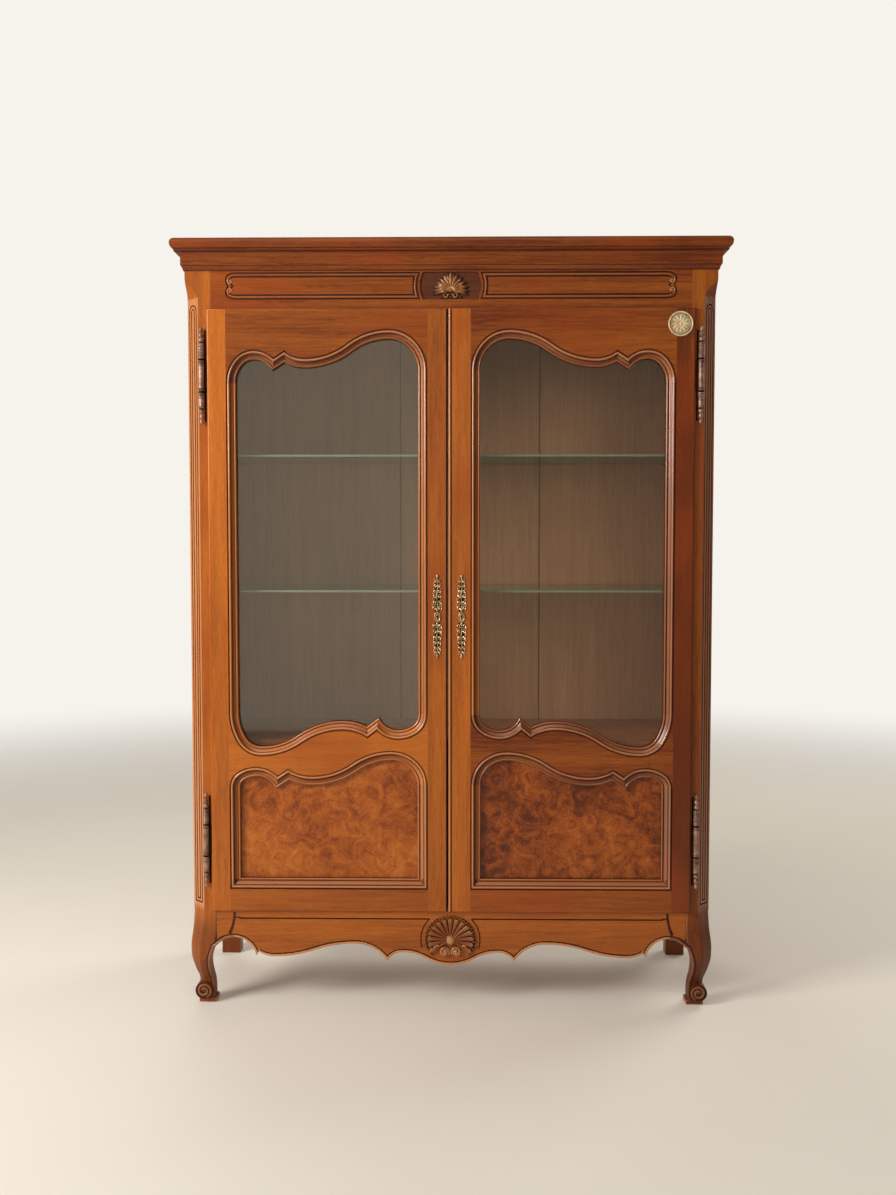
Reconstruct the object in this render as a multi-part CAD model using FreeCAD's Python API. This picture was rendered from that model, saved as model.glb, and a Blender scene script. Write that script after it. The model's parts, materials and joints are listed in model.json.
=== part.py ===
import FreeCAD, Part
import cmath
import math
import os

# Bookcase with two glazed doors, in millimetres. +Z is up, the front faces -Y and the origin
# is on the floor, at the middle of the overall width and depth.

# Overall sizes
overall_height = 2000.0
carcass_width = 1368.0  # over the outer faces of the posts
carcass_depth = 446.0  # from the front faces of the posts to the back

# Fits
touch_gap = 0.4  # between faces that pass each other when a door swings
slide_gap = 0.3  # round a bolt in its guides
seat_gap = 0.2  # round a tenon, a leaf or a panel edge in its slot
pin_gap = 0.06  # round a hinge pin, on the radius

# Posts
front_post_width = 66.0
front_post_depth = 60.0
rear_post_width = 53.0
rear_post_depth = 45.0
cant = 34.0  # each leg of the 45 degree cut on the front corner
cant_stop_length = 52.0  # the hollow run-out at the top of the cant
cant_stop_below_top = 24.0
cant_stop_steps = 6
reed_panel_half_width = 17.0
reed_panel_bottom = 270.0
reed_panel_below_stop = 16.0
reed_groove_width = 4.2
reed_groove_depth = 3.0
reed_spacing = 9.0  # from the outer groove to the inner one

# Front legs
leg_top = 250.0
leg_reach = 20.0  # more than any section swells out
foot_pad_height = 12.0
foot_pad_width = 52.0
foot_pad_inset = 8.0  # from the outer faces of the post
scroll_radius = 23.0
scroll_inset = 30.0  # scroll axis from the outer face of the post
scroll_front_inset = 4.0
scroll_length = 38.0

# Each leg section: height, outward swell, inner edge as a share of the post's size, cant.
leg_sections = (
    (leg_top, 0.0, 1.0, 34.0),
    (205.0, 2.0, 1.0, 32.0),
    (165.0, 6.5, 0.94, 30.0),
    (142.0, 7.0, 0.82, 29.0),
    (118.0, 4.5, 0.73, 26.0),
    (90.0, -4.0, 0.75, 20.0),
    (62.0, -14.0, 0.83, 15.0),
    (40.0, -12.0, 0.86, 13.0),
    (foot_pad_height, -9.0, 0.86, 13.0),
)

# Rails, boards and panels of the carcass
frieze_rail_height = 115.0
rail_thickness = 38.0  # frieze and apron
apron_top = 262.0  # also the level of the floor inside
side_rail_thickness = 28.0
side_rail_inset = 2.0
side_bottom_rail_height = 100.0
side_arch_rise = 42.0
side_panel_thickness = 10.0
side_panel_inset = 9.0
back_rail_thickness = 22.0
back_rail_inset = 2.0
back_bottom_rail_height = 90.0
back_board_thickness = 10.0
back_seam_left = -152.0
back_seam_right = 254.0
back_tongue = 6.0
board_tongue = 10.0  # how far panels and boards enter their grooves
floor_thickness = 18.0
floor_tongue = 8.0  # into the apron and the side rails
floor_back_tongue = 5.0
ceiling_thickness = 12.0
tenon_length = 30.0
side_tenon_length = 26.0
apron_tenon_height = 80.0
tenon_thickness = 11.0
tenon_margin = 18.0  # shoulder above and below a tenon

# Cornice
cornice_height = 60.0  # above the ceiling board
cornice_skirt = 20.0  # what hangs below the top of the ceiling board
cornice_overhang = 32.0
cornice_width = 60.0  # inside the faces of the posts
cornice_fascia_projection = 9.0
cornice_fascia_bottom = 7.0  # below the top of the ceiling board
cornice_fascia_top = 15.0  # above it
cornice_cove_projection = 21.0
cornice_cove_top = 26.0
cornice_fillet = 6.0
cornice_step = 2.0  # flat under the fillet
cornice_quirk = 1.0
cornice_arc_start = 80.0  # degrees, for the ovolo and the cove
cornice_nose_set_back = 14.0
cornice_back_thickness = 22.0
cornice_back_height = 45.0

# Shelves and their pins
glass_shelf_thickness = 6.0
glass_shelf_upper_top = 1453.0
glass_shelf_lower_top = 1097.0
glass_shelf_front = 46.0  # behind the faces of the posts
shelf_back_gap = 3.0
shelf_end_gap = 2.0
wood_shelf_top = 700.0
wood_shelf_thickness = 20.0
wood_shelf_front = 40.0
shelf_pin_radius = 3.0
shelf_pin_reach = 10.0  # under the shelf
shelf_pin_depth = 14.0  # in the post
front_pin_inset = 8.0  # from the back of the front post
rear_pin_inset = 9.0  # from the front of the rear post

# Doors
lip_overlap = 9.0  # over the posts and rails
lip_thickness = 10.0
door_thickness = 30.0
door_body_gap = 2.0
door_edge_radius = 4.0
meeting_gap = 3.0
meeting_offset = -6.5  # middle of the gap between the doors
meeting_bead = 6.0  # on the right door's edge
meeting_quirk = 2.6
meeting_quirk_depth = 3.0
hinge_stile_face = 48.5
meeting_stile_face = 51.0
top_rail_face = 52.0
bottom_rail_face = 59.5
panel_height = 367.5  # lower panel, over its moulding, up to its crest
nesting = 16.0  # the foot of the glazed opening lies this much below the panel's crest
glass_recess = 20.0
glass_thickness = 4.0
burr_thickness = 6.0
rebate_width = 10.0
rebate_end_gap = 1.0
bead_width = 9.0
bead_back_gap = 0.5
door_tenon_thickness = 8.0
door_tenon_depth = 10.5  # from the door's face

# Shaped edges of the openings: runs from the side where each begins, drops from the crest.
glass_head = {
    "start": 136.0, "shoulder": (72.0, 52.0), "notch": (124.0, 72.0), "peak": (151.5, 54.0),
    "sag": (203.0, 73.0), "crest_run": 99.5, "fall": 105.0,
}
glass_foot = {
    "start": 110.0, "shoulder": (77.0, 44.0), "notch": (133.0, 67.0), "peak": (157.0, 48.0),
    "sag": (221.0, 68.0), "crest_run": 84.5, "fall": 114.0,
}
panel_head = {
    "start": 98.0, "shoulder": (70.0, 43.0), "notch": (127.0, 66.0), "peak": (154.0, 48.0),
    "sag": (216.0, 66.0), "crest_run": 95.0, "fall": 92.0,
}

# Moulding worked round the openings
quirk_width = 3.2
quirk_depth = 3.0
outer_bead_width = 5.6
outer_bead_rise = 1.8
hollow_step = 1.0
hollow_drop = 6.4
inner_groove_width = 1.4
inner_groove_slope = 0.2
inner_groove_drop = 1.2
inner_bead_width = 6.0
inner_bead_rise = 2.0
glass_moulding_width = 24.0
panel_moulding_width = 27.0
bead_steps = 4
hollow_steps = 3

# Apron edge, from the post towards the middle: runs from the post, heights above the floor.
apron_apex = (43.0, 180.0)
apron_tongue_tip = (104.0, 130.0)
apron_tongue_root = (110.0, 141.0)
apron_first_dip = (153.0, 128.5)
apron_crest = (366.0, 164.0)
apron_cusp = (451.0, 118.0)
apron_second_crest = (492.0, 141.5)
apron_middle_height = 108.0
apron_arch_spring = 160.0
apron_edge_radius = 4.0
apron_edge_steps = 4
apron_edge_groove_inset = 10.5
carved_groove_width = 4.4
carved_groove_depth = 2.8
groove_flank = 0.25  # of a groove's width, each side
apron_line_below_top = 28.0
apron_ring_radius = 80.0
apron_ring_spacing = 14.0
apron_ring_drop = 22.0  # where the rings end, below the middle of the shell
apron_line_end_inset = 60.0
ear_line = ((49.0, 14.0), (35.0, 71.0))  # run from the post, drop from the apron's top

# Frieze panels and roundel
frieze_panel_end_inset = 38.0  # from the post
frieze_panel_top_drop = 12.0  # below the top of the frieze rail
frieze_panel_height = 70.0
frieze_lobe_run = 28.0
frieze_waist = 5.0
frieze_groove_spacing = 9.6
roundel_radius = 84.0
roundel_rim = 5.0
roundel_depth = 3.5
roundel_slope = 1.5

# Carved shells
frieze_shell_radius = 46.0
frieze_shell_stretch = 1.1
frieze_shell_drop = 11.0  # hub below the middle of the frieze panels
frieze_volute_radius = 8.0
frieze_volute_drop = 12.0  # below the hub
apron_shell_radius = 59.0
apron_shell_stretch = 1.03
apron_shell_height = 177.0
apron_volute_radius = 14.0
apron_volute_drop = 30.0
shell_thickness = 8.0
shell_lobes = 11
shell_lobe_turn = 130.0  # degrees of arc round the end of each lobe
shell_spread = 230.0  # degrees from the first lobe to the last
shell_valley = 0.86  # of the radius, between lobes
shell_hub_radius = 9.0
shell_hub_rise = 4.0
volute_rise = 1.0
volute_gap = 5.0  # between the two

# Hinges
hinge_axis_inset = 14.5  # from the lip's edge
hinge_stand_off = 8.5  # axis in front of the faces of the posts
hinge_barrel_radius = 7.0
hinge_collar_radius = 8.0
hinge_collar_length = 3.5
hinge_pin_radius = 3.0
hinge_door_knuckle = 80.0
hinge_post_knuckle = 38.0
hinge_end_gap = 0.3
hinge_finial_length = 46.0
hinge_finial_radius = 6.5
hinge_finial_profile = (
    (1.0, 0.0), (1.0, 3.0), (0.6, 5.0), (0.6, 7.0), (1.0, 11.0), (1.0, 24.0), (0.55, 29.0), (0.8, 32.0),
    (0.55, 35.0), (0.6, 38.0), (0.4, 44.0),
)  # share of the radius, distance from the knuckle
hinge_leaf_thickness = 2.5
hinge_leaf_reach = 26.0
hinge_door_leaf_depth = 6.2  # middle of the leaf in front of the posts' faces
hinge_leaf_margin = 2.0
upper_hinge_below_top = 171.0
lower_hinge_above_bottom = 189.0

# Lock, bolts and escutcheons
lock_height = 1030.0
lock_case_width = 60.0
lock_case_height = 90.0
lock_case_thickness = 14.0
lock_case_edge_inset = 2.0
lock_bolt_width = 10.0
lock_bolt_rise = 14.0  # above the keyhole's middle
lock_bolt_thickness = 8.0
lock_bolt_length = 40.0
lock_bolt_travel = 14.0
lock_bolt_set_back = 0.5
strike_width = 20.0
strike_height = 50.0
strike_edge_inset = 2.0
key_hole_radius = 3.5
key_slot_width = 3.0
key_slot_length = 12.0
sliding_bolt_width = 8.0
sliding_bolt_length = 110.0
sliding_bolt_travel = 12.0
sliding_bolt_inset = 27.0  # from the left door's meeting edge
sliding_bolt_end_gap = 1.0
bolt_plate_width = 22.0
bolt_plate_length = 96.0
bolt_plate_thickness = 2.0
bolt_guide_length = 14.0
bolt_guide_wall = 2.0
bolt_plate_end_gap = 10.0
bolt_hole_spare = 3.0
bolt_knob_radius = 4.0
bolt_knob_rise = 6.0
escutcheon_thickness = 2.0
escutcheon_lobes = ((0.0, 11.0), (33.0, 8.0), (58.0, 6.5), (80.0, 5.0), (101.0, 4.0), (108.0, 2.8))
escutcheon_strap = 6.0
escutcheon_middle_inset = 26.0  # from the meeting edge, beside the bead on the right door
badge_radius = 32.0
badge_thickness = 2.4
badge_rim_width = 4.0
badge_field_thickness = 1.4
badge_from_lip = 39.0
badge_below_top = 41.0

# Worked-out places
half_width = carcass_width / 2
face = cornice_overhang - (carcass_depth + cornice_overhang) / 2  # front faces of the posts
back = face + carcass_depth
ceiling_top = overall_height - cornice_height
post_top = ceiling_top - ceiling_thickness
opening_top = post_top - frieze_rail_height
opening_bottom = apron_top
opening_half = half_width - front_post_width
rear_opening_half = half_width - rear_post_width
door_front = face - lip_thickness
door_back = door_front + door_thickness
door_top = opening_top + lip_overlap
door_bottom = opening_bottom - lip_overlap
lip_edge = opening_half + lip_overlap  # distance of each door's outer edge from the middle
hinge_x = lip_edge + hinge_axis_inset
hinge_y = face - hinge_stand_off
hinge_heights = (door_top - upper_hinge_below_top, door_bottom + lower_hinge_above_bottom)
glass_crest = door_top - top_rail_face
panel_low = door_bottom + bottom_rail_face
panel_crest = panel_low + panel_height
glass_low = panel_crest - nesting
rear_post_front = back - rear_post_depth
back_rail_front = back - back_rail_inset - back_rail_thickness
back_board_front = back_rail_front + (back_rail_thickness - back_board_thickness) / 2
shelf_half = opening_half - shelf_end_gap
shelf_back = back_rail_front - shelf_back_gap
bolt_y = door_back + bolt_plate_thickness + bolt_guide_wall + sliding_bolt_width / 2

up = FreeCAD.Vector(0, 0, 1)
origin = FreeCAD.Vector(0, 0, 0)


# Solids from plain boxes and rods

def box(x_span, y_span, z_span):
    corner = FreeCAD.Vector(min(x_span), min(y_span), min(z_span))
    sizes = [max(span) - min(span) for span in (x_span, y_span, z_span)]
    return Part.makeBox(sizes[0], sizes[1], sizes[2], corner)


def grown(span, margin):
    return (min(span) - margin, max(span) + margin)


def rod(radius, start, end):
    axis = end - start
    return Part.makeCylinder(radius, axis.Length, start, axis)


def mirrored(solid):
    return solid.mirror(origin, FreeCAD.Vector(1, 0, 0))


def joined(solids):
    return solids[0].multiFuse(solids[1:]).removeSplitter()


# Outlines: lists of (start, end, sweep). Points are complex numbers, across + up * 1j,
# and sweep is the turn in radians, positive to the left and zero on a straight run.

def direction(degrees):
    return cmath.rect(1, math.radians(degrees))


def straight(start, end):
    return (start, end, 0.0)


def arc_leaving(start, degrees, end):
    return (start, end, 2 * cmath.phase((end - start) / direction(degrees)))


def arc_arriving(start, end, degrees):
    return (start, end, 2 * cmath.phase(direction(degrees) / (end - start)))


def biarc(start, start_degrees, end, end_degrees):
    # Two arcs that share a tangent, from one point and direction to another.
    leaving = direction(start_degrees)
    arriving = direction(end_degrees)
    span = end - start
    along = (span * (leaving + arriving).conjugate()).real
    parallel = 1 - (leaving * arriving.conjugate()).real
    if parallel < 1e-9:
        reach = abs(span) ** 2 / (2 * along)
    else:
        reach = (math.sqrt(along ** 2 + 2 * parallel * abs(span) ** 2) - along) / (2 * parallel)
    middle = (start + end + reach * (leaving - arriving)) / 2
    return [arc_leaving(start, start_degrees, middle), arc_arriving(middle, end, end_degrees)]


def reversed_outline(outline):
    return [(end, start, -sweep) for start, end, sweep in reversed(outline)]


def flipped_outline(outline):
    # The mirror image across the middle, run through in the same turning sense.
    image = [(-start.conjugate(), -end.conjugate(), -sweep) for start, end, sweep in outline]
    return reversed_outline(image)


def turned_outline(outline):
    return [(-start, -end, sweep) for start, end, sweep in outline]


def end_directions(segment):
    start, end, sweep = segment
    chord = (end - start) / abs(end - start)
    return chord * cmath.rect(1, -sweep / 2), chord * cmath.rect(1, sweep / 2)


def circle_of(segment):
    start, end, sweep = segment
    radius = abs(end - start) / (2 * math.sin(sweep / 2))
    return start + 1j * end_directions(segment)[0] * radius, abs(radius)


def line_meets_circle(line, arc):
    centre, radius = circle_of(arc)
    along = end_directions(line)[0]
    foot = line[0] + along * ((centre - line[0]) * along.conjugate()).real
    half = math.sqrt(radius ** 2 - abs(foot - centre) ** 2)
    return [foot + along * half, foot - along * half]


def circle_meets_circle(first, second):
    centre, radius = circle_of(first)
    other, other_radius = circle_of(second)
    gap = abs(other - centre)
    along = (other - centre) / gap
    near = (gap ** 2 + radius ** 2 - other_radius ** 2) / (2 * gap)
    half = math.sqrt(radius ** 2 - near ** 2)
    return [centre + along * (near + 1j * half), centre + along * (near - 1j * half)]


def line_meets_line(first, second):
    along = end_directions(first)[0]
    across = end_directions(second)[0]
    gap = second[0] - first[0]
    share = (gap * across.conjugate()).imag / (along * across.conjugate()).imag
    return [first[0] + along * share]


def corner_point(first, second):
    if abs(first[1] - second[0]) < 1e-6:
        return first[1]
    if first[2] and second[2]:
        found = circle_meets_circle(first, second)
    elif first[2]:
        found = line_meets_circle(second, first)
    elif second[2]:
        found = line_meets_circle(first, second)
    else:
        found = line_meets_line(first, second)
    middle = (first[1] + second[0]) / 2
    return min(found, key=lambda point: abs(point - middle))


def shifted(outline, distance, closed=True):
    # The outline moved to its right-hand side, with its corners mitred.
    moved = []
    for segment in outline:
        leaving, arriving = end_directions(segment)
        start = segment[0] - 1j * leaving * distance
        moved.append((start, segment[1] - 1j * arriving * distance, segment[2]))
    corners = [corner_point(moved[index - 1], moved[index]) for index in range(1, len(moved))]
    if closed:
        first = corner_point(moved[-1], moved[0])
        points = [first] + corners + [first]
    else:
        points = [moved[0][0]] + corners + [moved[-1][1]]
    result = []
    for segment, start, end in zip(moved, points, points[1:]):
        sweep = segment[2]
        if sweep:
            centre = circle_of(segment)[0]
            sweep = cmath.phase((end - centre) / (start - centre))
        result.append((start, end, sweep))
    return result


def place(point, depth):
    return FreeCAD.Vector(point.real, depth, point.imag)


def edge_of(segment, depth):
    start, end, sweep = segment
    if abs(sweep) < 1e-6:
        return Part.LineSegment(place(start, depth), place(end, depth)).toShape()
    middle = (start + end) / 2 - 1j * (end - start) / 2 * math.tan(sweep / 4)
    return Part.Arc(place(start, depth), place(middle, depth), place(end, depth)).toShape()


def outline_face(outline, depth):
    return Part.Face(Part.Wire([edge_of(segment, depth) for segment in outline]))


def plate(outline, front, rear):
    return outline_face(outline, front).extrude(FreeCAD.Vector(0, rear - front, 0))


def closed_solid(faces):
    skin = Part.Compound(faces)
    skin.sewShape()
    solid = Part.Solid(skin.Shells[0])
    if solid.Volume < 0:
        solid.reverse()
    return solid


def ruled_rows(rows):
    faces = []
    for outer, inner in zip(rows, rows[1:]):
        for first, second in zip(outer, inner):
            faces.append(Part.makeRuledSurface(first, second))
    return faces


def moulded_plug(outline, profile, depth):
    # What a cutter takes out inside a closed outline: profile points are (inset, depth below).
    rows = []
    for inset, drop in profile:
        rows.append([edge_of(segment, depth + drop) for segment in shifted(outline, inset)])
    caps = [Part.Face(Part.Wire(rows[0])), Part.Face(Part.Wire(rows[-1]))]
    return closed_solid(caps + ruled_rows(rows))


def strip(outline, section, depth, closed):
    # A bar of a closed section, points (inset, depth below), that follows an outline.
    rows = []
    for inset, drop in section + section[:1]:
        moved = shifted(outline, inset, closed)
        rows.append([edge_of(segment, depth + drop) for segment in moved])
    faces = ruled_rows(rows)
    if not closed:
        for pick in (0, -1):
            ends = [row[pick].Vertexes[pick].Point for row in rows]
            faces.append(Part.Face(Part.makePolygon(ends)))
    return closed_solid(faces)


def groove(outline, inset, width, drop, depth, closed):
    flank = width * groove_flank
    section = [(inset, -1.0), (inset + flank, drop), (inset + width - flank, drop), (inset + width, -1.0)]
    return strip(outline, section, depth, closed)


# Parts of the carcass

def rail_tenon(x_shoulder, outward, y_middle, z_span, thickness=tenon_thickness):
    # A tenon that stands out of a rail's shoulder, towards -X or +X, and its mortise.
    x_span = (x_shoulder, x_shoulder + outward * tenon_length)
    y_span = (y_middle - thickness / 2, y_middle + thickness / 2)
    z_inner = grown(z_span, -tenon_margin)
    mortise = box(grown(x_span, seat_gap), grown(y_span, seat_gap), grown(z_inner, seat_gap))
    return box(x_span, y_span, z_inner), mortise


def side_tenon(y_shoulder, outward, z_span):
    x_middle = half_width - side_rail_inset - side_rail_thickness / 2
    x_span = (-x_middle - tenon_thickness / 2, -x_middle + tenon_thickness / 2)
    y_span = (y_shoulder, y_shoulder + outward * side_tenon_length)
    z_inner = grown(z_span, -tenon_margin)
    mortise = box(grown(x_span, seat_gap), grown(y_span, seat_gap), grown(z_inner, seat_gap))
    return box(x_span, y_span, z_inner), mortise


side_x = (-half_width + side_rail_inset, -half_width + side_rail_inset + side_rail_thickness)
side_y = (face + front_post_depth, rear_post_front)
frieze_z = (opening_top, post_top)
apron_tenon_z = (apron_top - apron_tenon_height, apron_top)
side_bottom_z = (apron_top - side_bottom_rail_height, apron_top)
back_bottom_z = (apron_top - back_bottom_rail_height, apron_top)
rail_middle = face + rail_thickness / 2
back_rail_middle = back_rail_front + back_rail_thickness / 2
frieze_tenon, frieze_mortise = rail_tenon(-opening_half, -1, rail_middle, frieze_z)
apron_tenon, apron_mortise = rail_tenon(-opening_half, -1, rail_middle, apron_tenon_z)
back_top_tenon, back_top_mortise = rail_tenon(-rear_opening_half, -1, back_rail_middle, frieze_z)
back_bottom_tenon, back_bottom_mortise = rail_tenon(-rear_opening_half, -1, back_rail_middle, back_bottom_z)
side_front_tenons = [side_tenon(side_y[0], -1, span) for span in (frieze_z, side_bottom_z)]
side_rear_tenons = [side_tenon(side_y[1], 1, span) for span in (frieze_z, side_bottom_z)]
side_panel_x = (-half_width + side_panel_inset, -half_width + side_panel_inset + side_panel_thickness)
side_panel_y = grown(side_y, board_tongue)
panel_z = (opening_bottom - board_tongue, opening_top + board_tongue)
side_panel = box(side_panel_x, side_panel_y, panel_z)
side_panel_slot = box(grown(side_panel_x, seat_gap), grown(side_panel_y, seat_gap), grown(panel_z, seat_gap))
back_board_y = (back_board_front, back_board_front + back_board_thickness)
back_board_x = (-rear_opening_half - board_tongue, rear_opening_half + board_tongue)
back_board_slot = box(grown(back_board_x, seat_gap), grown(back_board_y, seat_gap), grown(panel_z, seat_gap))
floor_x = half_width - side_rail_inset - side_rail_thickness + floor_tongue
floor_y = (face + rail_thickness - floor_tongue, back_rail_front + floor_back_tongue)
floor_z = (apron_top - floor_thickness, apron_top)
floor_slot = box((-floor_x - seat_gap, floor_x + seat_gap), grown(floor_y, seat_gap), grown(floor_z, seat_gap))
shelf_levels = (
    glass_shelf_upper_top - glass_shelf_thickness,
    glass_shelf_lower_top - glass_shelf_thickness,
    wood_shelf_top - wood_shelf_thickness,
)


def shelf_pins():
    pins = []
    seats = (
        (opening_half, face + front_post_depth - front_pin_inset),
        (rear_opening_half, rear_post_front + rear_pin_inset),
    )
    for level in shelf_levels:
        for post_face, y_place in seats:
            height = level - shelf_pin_radius
            inner = FreeCAD.Vector(-shelf_half + shelf_pin_reach, y_place, height)
            outer = FreeCAD.Vector(-post_face - shelf_pin_depth, y_place, height)
            pin = rod(shelf_pin_radius, outer, inner)
            pins.extend([pin, mirrored(pin)])
    return pins


def leg_section(height, swell, inner_share, corner):
    outer_x = -half_width - swell
    outer_y = face - swell
    inner_x = -half_width + front_post_width * inner_share
    inner_y = face + front_post_depth * inner_share
    points = [
        (outer_x + corner, outer_y), (inner_x, outer_y), (inner_x, inner_y),
        (outer_x, inner_y), (outer_x, outer_y + corner), (outer_x + corner, outer_y),
    ]
    return Part.makePolygon([FreeCAD.Vector(x, y, height) for x, y in points])


def corner_triangle(leg, height):
    # The part of the post's corner that a cant of this size takes away.
    margin = 1.0
    points = [
        (-half_width - margin, face - margin), (-half_width + leg + margin, face - margin),
        (-half_width - margin, face + leg + margin), (-half_width - margin, face - margin),
    ]
    return Part.makePolygon([FreeCAD.Vector(x, y, height) for x, y in points])


def cant_cutter():
    stop_top = post_top - cant_stop_below_top
    stop_bottom = stop_top - cant_stop_length
    run = Part.Face(corner_triangle(cant, leg_top)).extrude(up * (stop_bottom - leg_top))
    wires = []
    for step in range(cant_stop_steps + 1):
        share = step / cant_stop_steps
        leg = cant * (1 + math.cos(math.pi * share)) / 2 - share
        wires.append(corner_triangle(leg, stop_bottom + cant_stop_length * share))
    return run.fuse(Part.makeLoft(wires, True, True))


def reed_grooves():
    # Two nested arched grooves on the canted face.
    top = post_top - cant_stop_below_top - cant_stop_length - reed_panel_below_stop
    half = reed_panel_half_width
    spring = top - half
    outline = biarc(complex(-half, spring), 90, complex(0, top), 0)
    outline += biarc(complex(0, top), 0, complex(half, spring), -90)
    outline.append(straight(complex(half, spring), complex(half, reed_panel_bottom)))
    outline.append(straight(complex(half, reed_panel_bottom), complex(-half, reed_panel_bottom)))
    outline.append(straight(complex(-half, reed_panel_bottom), complex(-half, spring)))
    cutters = []
    for inset in (0.0, reed_spacing):
        cutter = groove(outline, inset, reed_groove_width, reed_groove_depth, 0.0, True)
        cutter.rotate(origin, up, -45)
        cutter.translate(FreeCAD.Vector(-half_width + cant / 2, face + cant / 2, 0))
        cutters.append(cutter)
    return cutters


def scroll_foot():
    front = rod(
        scroll_radius,
        FreeCAD.Vector(-half_width + scroll_inset, face + scroll_front_inset, foot_pad_height + scroll_radius),
        FreeCAD.Vector(-half_width + scroll_inset, face + scroll_front_inset + scroll_length,
                       foot_pad_height + scroll_radius),
    )
    side = rod(
        scroll_radius,
        FreeCAD.Vector(-half_width + scroll_front_inset, face + scroll_inset, foot_pad_height + scroll_radius),
        FreeCAD.Vector(-half_width + scroll_front_inset + scroll_length, face + scroll_inset,
                       foot_pad_height + scroll_radius),
    )
    pad_x = (-half_width + foot_pad_inset, -half_width + foot_pad_inset + foot_pad_width)
    pad_y = (face + foot_pad_inset, face + foot_pad_inset + foot_pad_width)
    return [front, side, box(pad_x, pad_y, (0, foot_pad_height))]


def hinge_post_slots():
    reach = hinge_post_knuckle + hinge_door_knuckle / 2
    slots = []
    for height in hinge_heights:
        x_span = grown((-hinge_x - hinge_leaf_thickness / 2, -hinge_x + hinge_leaf_thickness / 2), seat_gap)
        z_span = grown((height - reach, height + reach), seat_gap)
        slots.append(box(x_span, (face - 1, face + hinge_leaf_reach + seat_gap), z_span))
    return slots


def front_post():
    shaft = box((-half_width, -opening_half), (face, face + front_post_depth), (leg_top, post_top))
    shaft = shaft.cut(cant_cutter())
    leg = Part.makeLoft([leg_section(*section) for section in leg_sections], True, False)
    limit_x = (-half_width - leg_reach, -opening_half)
    limits = box(limit_x, (face - leg_reach, face + front_post_depth), (0, leg_top))
    post = joined([shaft, leg.common(limits)] + scroll_foot())
    cutters = reed_grooves() + hinge_post_slots() + shelf_pins()
    cutters += [frieze_mortise, apron_mortise, side_panel_slot]
    cutters += [mortise for tenon, mortise in side_front_tenons]
    return post.cut(cutters)


def rear_post():
    post = box((-half_width, -rear_opening_half), (rear_post_front, back), (0, post_top))
    cutters = [back_top_mortise, back_bottom_mortise, side_panel_slot, back_board_slot]
    cutters += [mortise for tenon, mortise in side_rear_tenons]
    return post.cut(cutters + shelf_pins())


def frieze_panel_outline():
    high = post_top - frieze_panel_top_drop
    low = high - frieze_panel_height
    middle = (high + low) / 2
    outer = -opening_half + frieze_panel_end_inset
    lobe = frieze_panel_height / 4
    inner = -math.sqrt(roundel_radius ** 2 - (frieze_panel_height / 2) ** 2)
    turn = 2 * math.asin(frieze_panel_height / 2 / roundel_radius)
    waist = complex(outer + frieze_waist, middle)
    upper_lobe = complex(outer, middle + lobe)
    lower_lobe = complex(outer, middle - lobe)
    upper_end = complex(outer + frieze_lobe_run, high)
    lower_end = complex(outer + frieze_lobe_run, low)
    outline = [straight(upper_end, complex(inner, high))]
    outline.append((complex(inner, high), complex(inner, low), turn))
    outline.append(straight(complex(inner, low), lower_end))
    outline += biarc(lower_end, 180, lower_lobe, 90)
    outline.append(arc_leaving(lower_lobe, 90, waist))
    outline.append(arc_arriving(waist, upper_lobe, 90))
    outline += biarc(upper_lobe, 90, upper_end, 0)
    return outline


def roundel_outline():
    high = post_top - frieze_panel_top_drop
    low = high - frieze_panel_height
    radius = roundel_radius - roundel_rim
    inner = math.sqrt(radius ** 2 - (frieze_panel_height / 2) ** 2)
    turn = -2 * math.asin(frieze_panel_height / 2 / radius)
    return [
        straight(complex(-inner, high), complex(inner, high)),
        (complex(inner, high), complex(inner, low), turn),
        straight(complex(inner, low), complex(-inner, low)),
        (complex(-inner, low), complex(-inner, high), turn),
    ]


def frieze_rail():
    rail = box((-opening_half, opening_half), (face, face + rail_thickness), frieze_z)
    rail = joined([rail, frieze_tenon, mirrored(frieze_tenon)])
    recess = [(0, -1), (0, 0), (roundel_slope, roundel_depth)]
    cutters = [moulded_plug(roundel_outline(), recess, face)]
    for outline in (frieze_panel_outline(), flipped_outline(frieze_panel_outline())):
        for inset in (0.0, frieze_groove_spacing):
            cutters.append(carved_line(outline, inset, True))
    cutters.append(sliding_bolt_hole(opening_top, 1))
    return rail.cut(cutters)


def apron_edge():
    # The lower edge from the left post to the middle: an arch that ends in a tongue, then the long run.
    def at(run, height):
        return complex(-opening_half + run, height)

    arch = [arc_arriving(at(0, apron_arch_spring), at(*apron_apex), 0)]
    arch.append(arc_leaving(at(*apron_apex), 0, at(*apron_tongue_tip)))
    run = [arc_arriving(at(*apron_tongue_root), at(*apron_first_dip), 0)]
    run += biarc(at(*apron_first_dip), 0, at(*apron_crest), 0)
    run.append(arc_leaving(at(*apron_crest), 0, at(*apron_cusp)))
    run.append(arc_arriving(at(*apron_cusp), at(*apron_second_crest), 0))
    run += biarc(at(*apron_second_crest), 0, complex(0, apron_middle_height), 0)
    return arch, run


def apron_edge_cutters(arch, run):
    # The rounded lower arris and the groove that follows it.
    left = arch + [straight(arch[-1][1], run[0][0])] + run
    whole = left + flipped_outline(left)
    radius = apron_edge_radius
    rounding = [(1.0, -1.0)]
    for step in range(apron_edge_steps + 1):
        angle = math.pi / 2 * step / apron_edge_steps
        rounding.append((-radius + radius * math.sin(angle), radius - radius * math.cos(angle)))
    rounding.append((1.0, radius))
    cutters = [strip(whole, rounding, face, False)]
    for line in (arch[1:], run + flipped_outline(run), flipped_outline(arch[1:])):
        cutters.append(carved_line(line, -apron_edge_groove_inset))
    return cutters


def carved_line(outline, inset=0.0, closed=False):
    return groove(outline, inset, carved_groove_width, carved_groove_depth, face, closed)


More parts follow.
